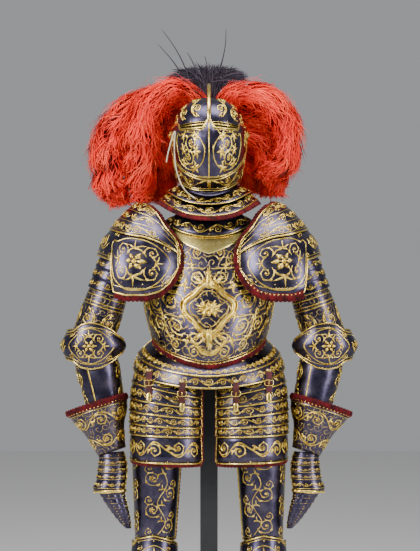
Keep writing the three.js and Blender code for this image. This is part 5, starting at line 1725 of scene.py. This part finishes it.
def strap_surface(x, top, hem, bottom, flip):
    depth = []
    for z in np.linspace(top, bottom, STRAP_STEPS):
        on_tasset = face_depth(TASSET, 90, x, min(z, 1053)) - STEP - 5
        on_fauld = face_depth(FAULD, 88, x, 1) - 6.5
        share = np.clip((z - bottom - 28) / (hem - 6 - bottom - 28), 0, 1)
        depth.append(on_tasset + (on_fauld - on_tasset) * share)

    def surface(u, v):
        u, v = pair(u, v)
        point = 6 * (2 * np.abs(u - 0.5)) ** 2 * np.clip((v - 0.9) / 0.1, 0, 1)
        return np.stack([x * flip + STRAP_WIDTH * (u - 0.5),
                         np.interp(v, np.linspace(0, 1, STRAP_STEPS), depth),
                         top + (bottom - top) * v + point], axis=-1)

    return surface


def buckle_frame(heap, centre, wide, high):
    """A rounded rectangle of wire standing in x and z."""
    t = np.linspace(0, 2 * math.pi, 25)[:-1]
    loop = centre + np.stack([wide / 2 * squared(np.cos(t), 4), 0 * t,
                              high / 2 * squared(np.sin(t), 4)], axis=1)
    bead(heap, loop, FORWARD, 1.6, closed=True)


for side, flip in (("left", 1), ("right", -1)):
    for name, x, top, hem, bottom in STRAPS:
        surface = strap_surface(x, top, hem, bottom, flip)
        plate(f"tasset_strap_{name}_{side}_leather", surface, 6, 30, wall=2.6,
              material=LEATHER,
              replaces=[f"tasset_strap_{name}_{side}"])
        heap = Heap()
        mid = surface(0.5, 0.42)
        buckle_frame(heap, mid + 2.2 * FORWARD, STRAP_WIDTH + 8, 15)
        bead(heap, np.linspace(mid + [0, -3, 7], mid + [0, -3, -8], 4), FORWARD, 1.3)
        rivet_plate = surface(np.linspace(0.02, 0.98, 6), 0.05)
        bead(heap, rivet_plate + 0.8 * FORWARD, FORWARD, 3.4, sides=8, flat=0.5)
        tip = surface(0.5, np.linspace(0.7, 0.995, 10))
        bead(heap, tip + 0.4 * FORWARD, FORWARD,
             np.array([4, 6.5, 7.6, 7.6, 7.6, 7.6, 7.6, 7.6, 6.2, 4]), sides=8, flat=0.3)
        finish_piece(f"tasset_buckle_{name}_{side}", heap.mesh(f"buckle_{name}_{side}"),
                     "suit", EDGE_GILT)
print("straps and buckles done")

# %% [markdown]
# ## Lace and stand
# The thongs and the stand get their own materials.

# %% Lace and stand
for tail in laces:
    tail.data.materials.append(THONG)
for stand in ("stand_base", "stand_post"):
    for ob in bpy.data.objects:
        if ob.name.startswith(stand) and ob.type == "MESH":
            ob.data.materials.clear()
            ob.data.materials.append(PAINT)
            print(ob.name, "painted")

# %% [markdown]
# ## Stage and light
# A pale floor and backdrop, a large soft light from the upper left and a smaller one from the
# right give the polished plates long, soft highlights.

# %% Stage and lights
paper = blank("matt_backdrop_paper", {"Roughness": 0.9, "Base Color": linear("#E2E1DF")})[0]
floor_mesh = bpy.data.meshes.new("floor")
bm = bmesh.new()
bmesh.ops.create_grid(bm, x_segments=1, y_segments=1, size=8)
bm.to_mesh(floor_mesh)
bm.free()
floor = collect(bpy.data.objects.new("floor", floor_mesh))
floor_mesh.materials.append(paper)


def softbox(name, place, target, size, watts):
    data = bpy.data.lights.new(name, "AREA")
    data.shape = "RECTANGLE"
    data.size, data.size_y = size
    data.energy = watts
    light = collect(bpy.data.objects.new(name, data))
    light.location = place
    light.rotation_euler = (Vector(target) - Vector(place)).to_track_quat("-Z", "Y").to_euler()
    return light


softbox("key", (-2.6, -3.0, 3.0), (0, 0, 1.3), (1.2, 2.2), 210)
softbox("fill", (3.0, -2.4, 1.8), (0, 0, 1.2), (0.9, 2.4), 110)
softbox("top", (0, -0.6, 3.8), (0, 0, 1.2), (2.0, 1.2), 80)
world = bpy.data.worlds.new("studio")
world.use_nodes = True
sky = world.node_tree.nodes["Background"].inputs
sky["Color"].default_value = linear("#E4E6EA")
sky["Strength"].default_value = 0.42
bpy.context.scene.world = world
print("stage ready")
